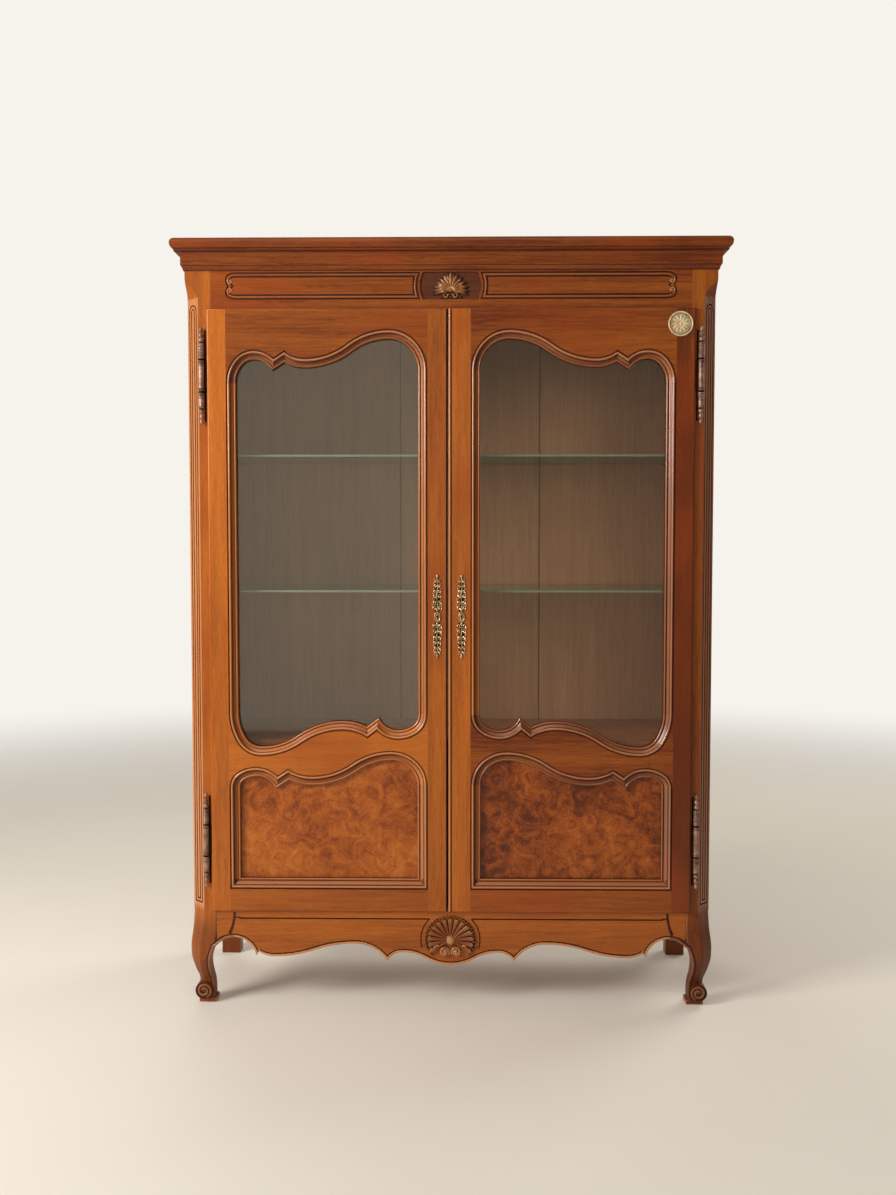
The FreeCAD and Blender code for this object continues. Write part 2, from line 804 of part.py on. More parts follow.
def apron_lines():
    # The carved lines of the left half: along the top, down by the leg and round the shell.
    line_height = apron_top - apron_line_below_top
    rise = line_height - apron_shell_height
    lines = []
    for radius in (apron_ring_radius, apron_ring_radius - apron_ring_spacing):
        foot = complex(-math.sqrt(radius ** 2 - apron_ring_drop ** 2), apron_shell_height - apron_ring_drop)
        head = complex(-math.sqrt(radius ** 2 - rise ** 2), line_height)
        centre = complex(0, apron_shell_height)
        lines.append([(foot, head, cmath.phase((head - centre) / (foot - centre)))])
        if radius == apron_ring_radius:
            lines.append([straight(complex(-opening_half + apron_line_end_inset, line_height), head)])
    ear_top = complex(-opening_half + ear_line[0][0], apron_top - ear_line[0][1])
    ear_foot = complex(-opening_half + ear_line[1][0], apron_top - ear_line[1][1])
    lines.append([arc_leaving(ear_top, -90, ear_foot)])
    return lines


def apron_rail():
    arch, run = apron_edge()
    left = arch + [straight(arch[-1][1], run[0][0])] + run
    lower = left + flipped_outline(left)
    top_left = complex(-opening_half, apron_top)
    top_right = complex(opening_half, apron_top)
    sides = [straight(lower[-1][1], top_right), straight(top_right, top_left), straight(top_left, lower[0][0])]
    rail = plate(lower + sides, face, face + rail_thickness)
    rail = joined([rail, apron_tenon, mirrored(apron_tenon)])
    cutters = apron_edge_cutters(arch, run) + [floor_slot, sliding_bolt_hole(opening_bottom, -1)]
    for line in apron_lines():
        cutters += [carved_line(line), mirrored(carved_line(line))]
    return rail.cut(cutters)


def side_rail(z_span, arched):
    rail = box(side_x, side_y, z_span)
    pair = [side_front_tenons, side_rear_tenons]
    index = 1 if arched else 0
    rail = joined([rail] + [tenon_list[index][0] for tenon_list in pair])
    cutters = [side_panel_slot, floor_slot]
    if arched:
        half = (side_y[1] - side_y[0]) / 2
        radius = (half ** 2 + side_arch_rise ** 2) / (2 * side_arch_rise)
        middle_y = (side_y[0] + side_y[1]) / 2
        height = z_span[0] + side_arch_rise - radius
        cutters.append(rod(radius, FreeCAD.Vector(side_x[0] - 1, middle_y, height),
                           FreeCAD.Vector(side_x[1] + 1, middle_y, height)))
    return rail.cut(cutters)


def back_rail(z_span, tenon):
    y_span = (back_rail_front, back_rail_front + back_rail_thickness)
    rail = box((-rear_opening_half, rear_opening_half), y_span, z_span)
    rail = joined([rail, tenon, mirrored(tenon)])
    return rail.cut([back_board_slot, floor_slot])


def back_boards():
    seams = (back_board_x[0], back_seam_left, back_seam_right, back_board_x[1])
    tongue_y = grown(back_board_y, -back_board_thickness / 3)
    boards = {}
    for name, low, high in zip(("left", "centre", "right"), seams, seams[1:]):
        board = box((low, high), back_board_y, panel_z)
        if name != "right":
            slot = box((high - back_tongue - seat_gap, high + 1), grown(tongue_y, seat_gap), grown(panel_z, 1))
            board = board.cut(slot)
        if name != "left":
            board = joined([board, box((low - back_tongue, low), tongue_y, panel_z)])
        boards["back_board_" + name] = board
    return boards


def floor_board():
    board = box((-floor_x, floor_x), floor_y, floor_z)
    through = grown(floor_z, 1)
    front_x = (-half_width, -opening_half + seat_gap)
    rear_x = (-half_width, -rear_opening_half + seat_gap)
    notch_front = box(front_x, (face, face + front_post_depth + seat_gap), through)
    notch_rear = box(rear_x, (rear_post_front - seat_gap, back), through)
    notches = [notch_front, mirrored(notch_front), notch_rear, mirrored(notch_rear)]
    return board.cut(notches + [sliding_bolt_hole(opening_bottom, -1)])


def cornice_profile():
    # Projection from the post's face across, height up.
    low = ceiling_top - cornice_skirt
    fascia = cornice_fascia_projection
    fascia_low = ceiling_top - cornice_fascia_bottom
    fascia_high = ceiling_top + cornice_fascia_top
    ovolo_start = complex(fascia / 3, low)
    ovolo_end = complex(fascia - cornice_quirk, fascia_low - cornice_quirk)
    cove_end = complex(cornice_cove_projection, ceiling_top + cornice_cove_top)
    fillet_low = cove_end + cornice_step
    fillet_high = fillet_low + 1j * cornice_fillet
    nose = complex(cornice_overhang, (fillet_high.imag + overall_height) / 2)
    nose_top = complex(cornice_overhang - cornice_nose_set_back, overall_height)
    outline = [straight(complex(0, low), ovolo_start)]
    outline.append(arc_leaving(ovolo_start, cornice_arc_start, ovolo_end))
    outline.append(straight(ovolo_end, complex(fascia, fascia_low)))
    outline.append(straight(complex(fascia, fascia_low), complex(fascia, fascia_high)))
    outline.append(arc_leaving(complex(fascia, fascia_high), cornice_arc_start, cove_end))
    outline.append(straight(cove_end, fillet_low))
    outline.append(straight(fillet_low, fillet_high))
    outline += biarc(fillet_high, 0, nose, 90)
    outline += biarc(nose, 90, nose_top, 180)
    outline.append(straight(nose_top, complex(-cornice_width, overall_height)))
    outline.append(straight(complex(-cornice_width, overall_height), complex(-cornice_width, ceiling_top)))
    outline.append(straight(complex(-cornice_width, ceiling_top), complex(0, ceiling_top)))
    outline.append(straight(complex(0, ceiling_top), complex(0, low)))
    return outline


def cornice_pieces():
    # A front and two returns, mitred at the corners.
    spread = cornice_overhang + 1
    front = plate(cornice_profile(), 0, carcass_width + 2 * spread)
    front.rotate(origin, up, -90)
    front.translate(FreeCAD.Vector(-half_width - spread, face, 0))
    right = plate(cornice_profile(), 0, carcass_depth + spread)
    right.translate(FreeCAD.Vector(half_width, face - spread, 0))
    depth = cornice_width + 1
    points = [
        (-half_width - spread, face - spread), (half_width + spread, face - spread),
        (half_width - depth, face + depth), (-half_width + depth, face + depth),
        (-half_width - spread, face - spread),
    ]
    low = ceiling_top - cornice_skirt - 1
    mitre = Part.Face(Part.makePolygon([FreeCAD.Vector(x, y, low) for x, y in points]))
    mitre = mitre.extrude(up * (overall_height + 1 - low))
    right = right.cut(mitre)
    return {"cornice_front": front.common(mitre), "cornice_right": right, "cornice_left": mirrored(right)}


def shell_carving(radius, stretch, height, rear, volute_radius, volute_drop):
    # A scalloped fan with a hub, and two small volutes under it.
    lobe_step = math.radians(shell_spread) / shell_lobes
    first = math.pi / 2 + math.radians(shell_spread) / 2
    valleys = []
    for lobe in range(shell_lobes + 1):
        point = cmath.rect(radius * shell_valley, first - lobe * lobe_step)
        valleys.append(complex(point.real * stretch, point.imag + height))
    outline = [(start, end, -math.radians(shell_lobe_turn)) for start, end in zip(valleys, valleys[1:])]
    outline.append(straight(valleys[-1], valleys[0]))
    front = rear - shell_thickness
    hub_front = FreeCAD.Vector(0, front - shell_hub_rise, height)
    solids = [plate(outline, front, rear), rod(shell_hub_radius, hub_front, FreeCAD.Vector(0, rear, height))]
    volute_x = volute_radius + volute_gap / 2
    for x_place in (-volute_x, volute_x):
        volute_front = FreeCAD.Vector(x_place, front - volute_rise, height - volute_drop)
        volute_rear = FreeCAD.Vector(x_place, rear, height - volute_drop)
        solids.append(rod(volute_radius, volute_front, volute_rear))
    return joined(solids)


# Hinges

def knuckle(low, high, radius=hinge_barrel_radius):
    return rod(radius, FreeCAD.Vector(-hinge_x, hinge_y, low), FreeCAD.Vector(-hinge_x, hinge_y, high))


def pin_bore(height):
    reach = hinge_door_knuckle / 2 + hinge_post_knuckle + hinge_finial_length
    return knuckle(height - reach, height + reach, hinge_pin_radius + pin_gap)


def hinge_post_leaf(height):
    inner = hinge_door_knuckle / 2 + hinge_end_gap
    outer = inner + hinge_post_knuckle
    x_span = (-hinge_x - hinge_leaf_thickness / 2, -hinge_x + hinge_leaf_thickness / 2)
    leaf_z = (height - outer + hinge_leaf_margin, height + outer - hinge_leaf_margin)
    solids = [box(x_span, (face, face + hinge_leaf_reach), leaf_z)]
    for side in (-1, 1):
        near = height + side * inner
        far = height + side * outer
        solids.append(knuckle(min(near, far), max(near, far)))
        collar = near + side * hinge_collar_length
        solids.append(knuckle(min(near, collar), max(near, collar), hinge_collar_radius))
        neck_z = (near + side * hinge_leaf_margin, far - side * hinge_leaf_margin)
        solids.append(box(x_span, (hinge_y, face), neck_z))
    return joined(solids).cut(pin_bore(height))


def hinge_door_leaf_box(height, gap):
    y_middle = face - hinge_door_leaf_depth
    y_span = (y_middle - hinge_leaf_thickness / 2, y_middle + hinge_leaf_thickness / 2)
    half = hinge_door_knuckle / 2 - hinge_leaf_margin
    return box((-hinge_x, -lip_edge + hinge_leaf_reach + gap), grown(y_span, gap),
               grown((height - half, height + half), gap))


def hinge_door_leaf(height):
    half = hinge_door_knuckle / 2
    solids = [knuckle(height - half, height + half), hinge_door_leaf_box(height, 0.0)]
    return joined(solids).cut(pin_bore(height))


def hinge_pin(height):
    reach = hinge_door_knuckle / 2 + hinge_end_gap + hinge_post_knuckle
    solids = [knuckle(height - reach, height + reach, hinge_pin_radius)]
    rim = [(share * hinge_finial_radius, along) for share, along in hinge_finial_profile]
    profile = [(0, 0)] + rim + [(0, hinge_finial_length), (0, 0)]
    for side in (-1, 1):
        points = [FreeCAD.Vector(across, 0, side * along) for across, along in profile]
        finial = Part.Face(Part.makePolygon(points)).revolve(origin, up, 360)
        finial.translate(FreeCAD.Vector(-hinge_x, hinge_y, height + side * reach))
        solids.append(finial)
    return joined(solids)


# Doors, built in the place of the left one

def bead_points(start, width, base, rise):
    points = []
    for step in range(bead_steps + 1):
        share = step / bead_steps
        points.append((start + width * share, base - rise * math.sin(math.pi * share)))
    return points


def moulding_profile(width, through):
    hollow_start = quirk_width + outer_bead_width
    hollow_end = width - inner_bead_width - inner_groove_width
    hollow_top = outer_bead_rise + hollow_step
    hollow_foot = hollow_top + hollow_drop
    profile = [(0, -1.0), (0, 0), (quirk_width * 0.25, quirk_depth), (quirk_width * 0.8, quirk_depth)]
    profile += bead_points(quirk_width, outer_bead_width, outer_bead_rise, outer_bead_rise)
    for step in range(hollow_steps + 1):
        share = step / hollow_steps
        drop = hollow_top + hollow_drop * (1 - math.cos(math.pi * share)) / 2
        profile.append((hollow_start + (hollow_end - hollow_start) * share, drop))
    groove_foot = hollow_foot + inner_groove_drop
    profile += [(hollow_end + inner_groove_slope, groove_foot), (hollow_end + inner_groove_width, groove_foot)]
    profile += bead_points(width - inner_bead_width, inner_bead_width, groove_foot, inner_bead_rise)[1:]
    profile.append((width, through))
    return profile


def shaped_edge(begin, finish, crest, form):
    # A cresting edge from left to right: shoulder, notch, sag and main crest.
    def at(place_of):
        return complex(begin + place_of[0], crest - place_of[1])

    top = complex(finish - form["crest_run"], crest)
    edge = biarc(at((0, form["start"])), 90, at(form["shoulder"]), 0)
    edge.append(arc_leaving(at(form["shoulder"]), 0, at(form["notch"])))
    edge.append(straight(at(form["notch"]), at(form["peak"])))
    edge.append(arc_arriving(at(form["peak"]), at(form["sag"]), 0))
    edge += biarc(at(form["sag"]), 0, top, 0)
    edge += biarc(top, 0, complex(finish, crest - form["fall"]), -90)
    return edge


def glass_outline(x_hinge, x_meet):
    head = shaped_edge(x_hinge, x_meet, glass_crest, glass_head)
    foot = turned_outline(shaped_edge(-x_meet, -x_hinge, -glass_low, glass_foot))
    return head + [straight(head[-1][1], foot[0][0])] + foot + [straight(foot[-1][1], head[0][0])]


def panel_outline(x_hinge, x_meet):
    head = shaped_edge(x_hinge, x_meet, panel_crest, panel_head)
    low_right = complex(x_meet, panel_low)
    low_left = complex(x_hinge, panel_low)
    sides = [straight(head[-1][1], low_right), straight(low_right, low_left), straight(low_left, head[0][0])]
    return head + sides


def key_hole(x_place):
    front = FreeCAD.Vector(x_place, door_front - escutcheon_thickness - 1, lock_height)
    rear = FreeCAD.Vector(x_place, door_back + lock_case_thickness / 2, lock_height)
    slot = box((x_place - key_slot_width / 2, x_place + key_slot_width / 2), (front.y, rear.y),
               (lock_height - key_slot_length, lock_height))
    return rod(key_hole_radius, front, rear).fuse(slot)


def door_blank(x_edge, x_hinge, x_meet, beaded):
    # The whole frame before it is parted into stiles and rails.
    slab = box((-lip_edge, x_edge), (door_front, door_back), (door_bottom, door_top))
    rounded = []
    for edge in slab.Edges:
        middle = edge.CenterOfMass
        on_front = abs(middle.y - door_front) < 1e-6
        if on_front and (not beaded or middle.x < x_edge - 1e-6):
            rounded.append(edge)
    slab = slab.makeFillet(door_edge_radius, rounded)
    lip_back = face - touch_gap
    step = lip_overlap + door_body_gap
    behind = (lip_back, door_back + 1)
    cutters = [
        box((-lip_edge - 1, -lip_edge + step), behind, (door_bottom - 1, door_top + 1)),
        box((-lip_edge - 1, x_edge + 1), behind, (door_top - step, door_top + 1)),
        box((-lip_edge - 1, x_edge + 1), behind, (door_bottom - 1, door_bottom + step)),
    ]
    through = door_thickness + 1
    glass = glass_outline(x_hinge, x_meet)
    panel = panel_outline(x_hinge, x_meet)
    cutters.append(moulded_plug(glass, moulding_profile(glass_moulding_width, through), door_front))
    cutters.append(moulded_plug(panel, moulding_profile(panel_moulding_width, through), door_front))
    pocket_y = (door_front + glass_recess, door_back + 1)
    cutters.append(box(*pocket_spans(x_hinge, x_meet, glass_low, glass_crest, glass_moulding_width, pocket_y)))
    cutters.append(box(*pocket_spans(x_hinge, x_meet, panel_low, panel_crest, panel_moulding_width, pocket_y)))
    if beaded:
        cutters += meeting_bead_cutters(x_edge)
    for cutter in cutters:
        slab = slab.cut(cutter)
    return slab


def meeting_bead_cutters(x_edge):
    # A half-round bead and its quirk down the edge of the second door to shut.
    tall = (door_bottom - 1, door_top + 1)
    radius = meeting_bead / 2
    middle = FreeCAD.Vector(x_edge - radius, door_front + radius, tall[0])
    round_bar = Part.makeCylinder(radius, tall[1] - tall[0], middle, up)
    square = box((x_edge - meeting_bead, x_edge + 1), (door_front - 1, door_front + radius), tall)
    quirk_x = (x_edge - meeting_bead - meeting_quirk, x_edge - meeting_bead)
    quirk = box(quirk_x, (door_front - 1, door_front + meeting_quirk_depth), tall)
    return [square.cut(round_bar), quirk]


def pocket_spans(x_hinge, x_meet, low, high, width, y_span):
    inset = width - rebate_width
    return (x_hinge + inset, x_meet - inset), y_span, (low + inset, high - inset)


def pocket_filling(x_hinge, x_meet, low, high, width, thickness):
    # The pane or panel in its rebate, and the four beads that hold it.
    front = door_front + glass_recess
    x_span, y_span, z_span = pocket_spans(x_hinge, x_meet, low, high, width, (front, front + thickness))
    sheet = box(grown(x_span, -rebate_end_gap), y_span, grown(z_span, -rebate_end_gap))
    bead_y = (front + thickness, door_back - bead_back_gap)
    x_inner = grown(x_span, -seat_gap)
    z_inner = grown(z_span, -seat_gap)
    beads = []
    for x_side, inward in ((x_inner[0], bead_width), (x_inner[1], -bead_width)):
        beads.append(box((x_side, x_side + inward), bead_y, z_inner))
    for z_side, inward in ((z_inner[0], bead_width), (z_inner[1], -bead_width)):
        beads.append(box(grown(x_inner, -bead_width), bead_y, (z_side, z_side + inward)))
    return sheet, beads


def door_regions(x_edge, x_hinge, x_meet):
    # Where the frame is parted: straight moulding stays on the stiles, shaped moulding on the rails.
    deep = (door_front - 2, door_back + 2)
    low, high = door_bottom - 1, door_top + 1
    panel_joint = panel_low + panel_moulding_width
    straight_runs = {
        "hinge": [(glass_low + glass_foot["fall"], glass_crest - glass_head["start"]),
                  (panel_joint, panel_crest - panel_head["start"])],
        "meeting": [(glass_low + glass_foot["start"], glass_crest - glass_head["fall"]),
                    (panel_joint, panel_crest - panel_head["fall"])],
    }
    faces = {"hinge": (-lip_edge - 1, x_hinge), "meeting": (x_meet, x_edge + 1)}
    inward = {
        "hinge": (x_hinge, x_hinge + panel_moulding_width),
        "meeting": (x_meet - panel_moulding_width, x_meet),
    }
    regions = {}
    strips = []
    for side, runs in straight_runs.items():
        mouldings = [box(inward[side], deep, run) for run in runs]
        regions[side + "_stile"] = joined([box(faces[side], deep, (low, high))] + mouldings)
        strips += mouldings
    glass_middle = (glass_low + glass_crest) / 2
    panel_middle = (panel_low + panel_crest) / 2
    levels = (low, panel_middle, glass_middle, high)
    for name, lower, upper in zip(("bottom_rail", "middle_rail", "top_rail"), levels, levels[1:]):
        regions[name] = box((x_hinge, x_meet), deep, (lower, upper)).cut(strips)
    return regions


def door_tenons(x_hinge, x_meet):
    y_middle = door_front + door_tenon_depth + door_tenon_thickness / 2
    spans = {
        "top_rail": (glass_crest - glass_head["fall"], door_top),
        "middle_rail": (panel_crest - panel_head["fall"], glass_low + glass_foot["start"]),
        "bottom_rail": (door_bottom, panel_low + panel_moulding_width),
    }
    made = {}
    for name, span in spans.items():
        made[name] = {
            "hinge": rail_tenon(x_hinge, -1, y_middle, span, door_tenon_thickness),
            "meeting": rail_tenon(x_meet, 1, y_middle, span, door_tenon_thickness),
        }
    return made


def door(beaded):
    x_edge = meeting_offset - meeting_gap / 2
    x_meet = x_edge - meeting_stile_face
    escutcheon_x = x_edge - escutcheon_middle_inset
    if beaded:
        x_edge = -meeting_offset - meeting_gap / 2
        x_meet = x_edge - meeting_bead - meeting_stile_face
        escutcheon_x = x_edge - meeting_bead - escutcheon_middle_inset
    x_hinge = -lip_edge + hinge_stile_face
    blank = door_blank(x_edge, x_hinge, x_meet, beaded)
    regions = door_regions(x_edge, x_hinge, x_meet)
    joints = door_tenons(x_hinge, x_meet)
    pieces = {name: blank.common(region) for name, region in regions.items()}
    for rail, pair in joints.items():
        pieces[rail] = joined([pieces[rail]] + [pair[side][0] for side in ("hinge", "meeting")])
    for side in ("hinge", "meeting"):
        pieces[side + "_stile"] = pieces[side + "_stile"].cut([pair[side][1] for pair in joints.values()])
    leaves = [hinge_door_leaf(height) for height in hinge_heights]
    slots = [hinge_door_leaf_box(height, seat_gap) for height in hinge_heights]
    pieces["hinge_stile"] = pieces["hinge_stile"].cut(slots)
    pieces["meeting_stile"] = pieces["meeting_stile"].cut(key_hole(escutcheon_x))
    pieces["escutcheon"] = escutcheon(escutcheon_x)
    pieces["glass"], glass_beads = pocket_filling(
        x_hinge, x_meet, glass_low, glass_crest, glass_moulding_width, glass_thickness)
    pieces["burr_panel"], panel_beads = pocket_filling(
        x_hinge, x_meet, panel_low, panel_crest, panel_moulding_width, burr_thickness)
    pieces["beads"] = Part.Compound(glass_beads + panel_beads)
    pieces["hinge_leaves"] = Part.Compound(leaves)
    return pieces, x_edge, escutcheon_x


def escutcheon(x_place):
    y_span = (door_front - escutcheon_thickness, door_front)
    longest = escutcheon_lobes[-1][0]
    solids = [box((x_place - escutcheon_strap / 2, x_place + escutcheon_strap / 2), y_span,
                  (lock_height - longest, lock_height + longest))]
    for rise, radius in escutcheon_lobes:
        for side in (-1, 1):
            height = lock_height + side * rise
            solids.append(rod(radius, FreeCAD.Vector(x_place, y_span[0], height),
                              FreeCAD.Vector(x_place, y_span[1], height)))
    return joined(solids).cut(key_hole(x_place))


def badge():
    field_radius = badge_radius - badge_rim_width
    slope = badge_rim_width / 4
    profile = [
        (0, 0), (0, badge_field_thickness), (field_radius, badge_field_thickness),
        (field_radius + slope, badge_thickness), (badge_radius - slope, badge_thickness),
        (badge_radius, badge_field_thickness), (badge_radius, 0), (0, 0),
    ]
    points = [FreeCAD.Vector(across, -along, 0) for across, along in profile]
    disc = Part.Face(Part.makePolygon(points)).revolve(origin, FreeCAD.Vector(0, 1, 0), 360)
    disc.translate(FreeCAD.Vector(lip_edge - badge_from_lip, door_front, door_top - badge_below_top))
    return disc


# Lock and bolts

def lock_pieces(x_edge, x_key):
    # On the back of the right door; x_edge is that door's meeting edge.
    case_x = (x_edge + lock_case_edge_inset, x_edge + lock_case_edge_inset + lock_case_width)
    case_y = (door_back, door_back + lock_case_thickness)
    case_z = (lock_height - lock_case_height / 2, lock_height + lock_case_height / 2)
    bolt_x = (case_x[0] + lock_bolt_set_back, case_x[0] + lock_bolt_set_back + lock_bolt_length)
    y_middle = door_back + lock_case_thickness / 2
    bolt_y_span = (y_middle - lock_bolt_thickness / 2, y_middle + lock_bolt_thickness / 2)
    bolt_z = (lock_height + lock_bolt_rise, lock_height + lock_bolt_rise + lock_bolt_width)
    bolt = box(bolt_x, bolt_y_span, bolt_z)
    clear_y = grown(bolt_y_span, slide_gap)
    clear_z = grown(bolt_z, slide_gap)
    channel = box((case_x[0] - 1, bolt_x[1] + slide_gap), clear_y, clear_z)
    case = box(case_x, case_y, case_z).cut([channel, key_hole(x_key)])
    left_edge = meeting_offset - meeting_gap / 2
    strike_x = (left_edge - strike_edge_inset - strike_width, left_edge - strike_edge_inset)
    strike_z = grown(bolt_z, (strike_height - lock_bolt_width) / 2)
    reach = bolt_x[0] - lock_bolt_travel - slide_gap
    cavity = box((reach, strike_x[1] + 1), clear_y, clear_z)
    return case, bolt, box(strike_x, case_y, strike_z).cut(cavity)


bolt_x_middle = meeting_offset - meeting_gap / 2 - sliding_bolt_inset


def sliding_bolt_ends(upward):
    # The end that leads into the rail, and the other one.
    edge = opening_top - door_body_gap if upward > 0 else opening_bottom + door_body_gap
    lead = edge - upward * sliding_bolt_end_gap
    return lead, lead - upward * sliding_bolt_length


def sliding_bolt(upward):
    lead, tail = sliding_bolt_ends(upward)
    half = sliding_bolt_width / 2
    bar = box((bolt_x_middle - half, bolt_x_middle + half), (bolt_y - half, bolt_y + half), (lead, tail))
    knob_height = (lead + tail) / 2
    knob = rod(bolt_knob_radius, FreeCAD.Vector(bolt_x_middle, bolt_y, knob_height),
               FreeCAD.Vector(bolt_x_middle, bolt_y + half + bolt_knob_rise, knob_height))
    return joined([bar, knob])


def sliding_bolt_plate(upward):
    lead, tail = sliding_bolt_ends(upward)
    near = lead - upward * bolt_plate_end_gap
    far = near - upward * bolt_plate_length
    half = bolt_plate_width / 2
    x_span = (bolt_x_middle - half, bolt_x_middle + half)
    solids = [box(x_span, (door_back, door_back + bolt_plate_thickness), (near, far))]
    clear = sliding_bolt_width / 2 + slide_gap
    guide_half = clear + bolt_guide_wall
    for start in (near, far + upward * bolt_guide_length):
        z_span = (start, start - upward * bolt_guide_length)
        solids.append(box((bolt_x_middle - guide_half, bolt_x_middle + guide_half),
                          (door_back, bolt_y + guide_half), z_span))
    channel = box((bolt_x_middle - clear, bolt_x_middle + clear), (bolt_y - clear, bolt_y + clear),
                  grown((near, far), 1))
    return joined(solids).cut(channel)


def sliding_bolt_hole(rail_edge, upward):
    lead = sliding_bolt_ends(upward)[0]
    tip = lead + upward * (sliding_bolt_travel + bolt_hole_spare)
    clear = sliding_bolt_width / 2 + 2 * slide_gap
    return box((bolt_x_middle - clear, bolt_x_middle + clear), (bolt_y - clear, bolt_y + clear),
               (rail_edge - upward, tip))


# The whole object, node by node

def all_nodes():
    nodes = {}

    def pair(name, left):
        nodes[name + "_left"] = left
        nodes[name + "_right"] = mirrored(left)

    pair("front_post", front_post())
    pair("rear_post", rear_post())
    nodes["frieze_rail"] = frieze_rail()
    nodes["apron_rail"] = apron_rail()
    pair("side_top_rail", side_rail(frieze_z, False))
    pair("side_bottom_rail", side_rail(side_bottom_z, True))
    pair("side_panel", side_panel)
    nodes["back_top_rail"] = back_rail(frieze_z, back_top_tenon)
    nodes["back_bottom_rail"] = back_rail(back_bottom_z, back_bottom_tenon)
    nodes.update(back_boards())
    nodes["floor_board"] = floor_board()
    nodes["ceiling_board"] = box((-half_width, half_width), (face, back), (post_top, ceiling_top))
    nodes.update(cornice_pieces())
    inner = half_width - cornice_width
    nodes["cornice_back"] = box((-inner, inner), (back - cornice_back_thickness, back),
                                (ceiling_top, ceiling_top + cornice_back_height))
    frieze_middle = post_top - frieze_panel_top_drop - frieze_panel_height / 2
    nodes["frieze_shell"] = shell_carving(
        frieze_shell_radius, frieze_shell_stretch, frieze_middle - frieze_shell_drop, face + roundel_depth,
        frieze_volute_radius, frieze_volute_drop)
    nodes["apron_shell"] = shell_carving(
        apron_shell_radius, apron_shell_stretch, apron_shell_height, face,
        apron_volute_radius, apron_volute_drop)
    shelf_x = (-shelf_half, shelf_half)
    nodes["wood_shelf"] = box(shelf_x, (face + wood_shelf_front, shelf_back),
                              (wood_shelf_top - wood_shelf_thickness, wood_shelf_top))
    for name, top in (("upper", glass_shelf_upper_top), ("lower", glass_shelf_lower_top)):
        nodes["glass_shelf_" + name] = box(shelf_x, (face + glass_shelf_front, shelf_back),
                                           (top - glass_shelf_thickness, top))
    nodes["shelf_pins"] = Part.Compound(shelf_pins())
    pair("hinge_post_leaves", Part.Compound([hinge_post_leaf(height) for height in hinge_heights]))
    pins = [hinge_pin(height) for height in hinge_heights]
    nodes["hinge_pins"] = Part.Compound(pins + [mirrored(pin) for pin in pins])

    left_pieces = door(False)[0]
    right_pieces, right_edge, right_key = door(True)
    for name, solid in left_pieces.items():
        nodes["left_door_" + name] = solid
    for name, solid in right_pieces.items():
        nodes["right_door_" + name] = mirrored(solid)
    case, bolt, strike = lock_pieces(-right_edge, -right_key)
    nodes["lock_case"] = case
    nodes["lock_bolt"] = bolt
    nodes["strike_box"] = strike
    nodes["sliding_bolt_plates"] = Part.Compound([sliding_bolt_plate(1), sliding_bolt_plate(-1)])
    nodes["top_bolt"] = sliding_bolt(1)
    nodes["bottom_bolt"] = sliding_bolt(-1)
    nodes["door_badge"] = badge()
    return nodes


os.makedirs("parts", exist_ok=True)
for node_name, node_shape in all_nodes().items():
    node_shape.exportStep(os.path.join("parts", node_name + ".step"))
    print(node_name, len(node_shape.Solids), "solids", round(node_shape.Volume / 1000.0, 2), "cm3",
          "valid" if node_shape.isValid() else "NOT VALID")
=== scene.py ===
import bpy
import bmesh
import json
import math
from mathutils import Matrix, Vector
from mathutils.kdtree import KDTree

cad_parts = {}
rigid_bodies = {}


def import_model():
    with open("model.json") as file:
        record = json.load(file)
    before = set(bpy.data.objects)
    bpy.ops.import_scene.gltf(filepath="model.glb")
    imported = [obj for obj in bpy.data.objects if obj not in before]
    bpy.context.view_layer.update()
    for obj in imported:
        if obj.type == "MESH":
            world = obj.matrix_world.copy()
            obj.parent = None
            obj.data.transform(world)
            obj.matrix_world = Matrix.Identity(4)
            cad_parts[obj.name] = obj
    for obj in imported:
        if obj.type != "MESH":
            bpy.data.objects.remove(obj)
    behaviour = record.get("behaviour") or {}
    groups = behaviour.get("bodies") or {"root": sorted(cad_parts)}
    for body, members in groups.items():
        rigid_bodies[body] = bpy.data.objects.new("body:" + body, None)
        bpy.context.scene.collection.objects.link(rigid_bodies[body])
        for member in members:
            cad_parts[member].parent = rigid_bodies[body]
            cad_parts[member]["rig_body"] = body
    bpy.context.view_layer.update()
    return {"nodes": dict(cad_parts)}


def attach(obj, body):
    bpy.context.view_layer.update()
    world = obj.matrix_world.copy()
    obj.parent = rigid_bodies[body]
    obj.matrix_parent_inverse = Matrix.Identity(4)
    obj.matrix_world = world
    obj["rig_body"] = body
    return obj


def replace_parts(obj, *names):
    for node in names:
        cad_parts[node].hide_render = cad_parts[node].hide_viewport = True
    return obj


for leftover in list(bpy.data.objects):  # the start-up scene's own things
    bpy.data.objects.remove(leftover)

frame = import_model()
nodes = frame["nodes"]
sides = {"left": -1, "right": 1}
print("frame loaded:", len(nodes), "nodes")


def clamped(value):
    return max(0, min(1, value))


def between(ends, share):
    # the value at this share of the way from the first end to the second
    return ends[0] + (ends[1] - ends[0]) * share


def shares(steps):
    return [step / steps for step in range(steps + 1)]


# shader graphs

def tint(red, green, blue):
    # a colour as a picture shows it, 0 to 255, made linear
    steps = [value / 255 for value in (red, green, blue)]
    return [s / 12.92 if s <= 0.04045 else ((s + 0.055) / 1.055) ** 2.4 for s in steps] + [1]


def bothWays(operation):
    # an operator of sockets and its reflected form
    return (lambda self, other: self.maths(operation, self, other),
            lambda self, other: self.maths(operation, other, self))


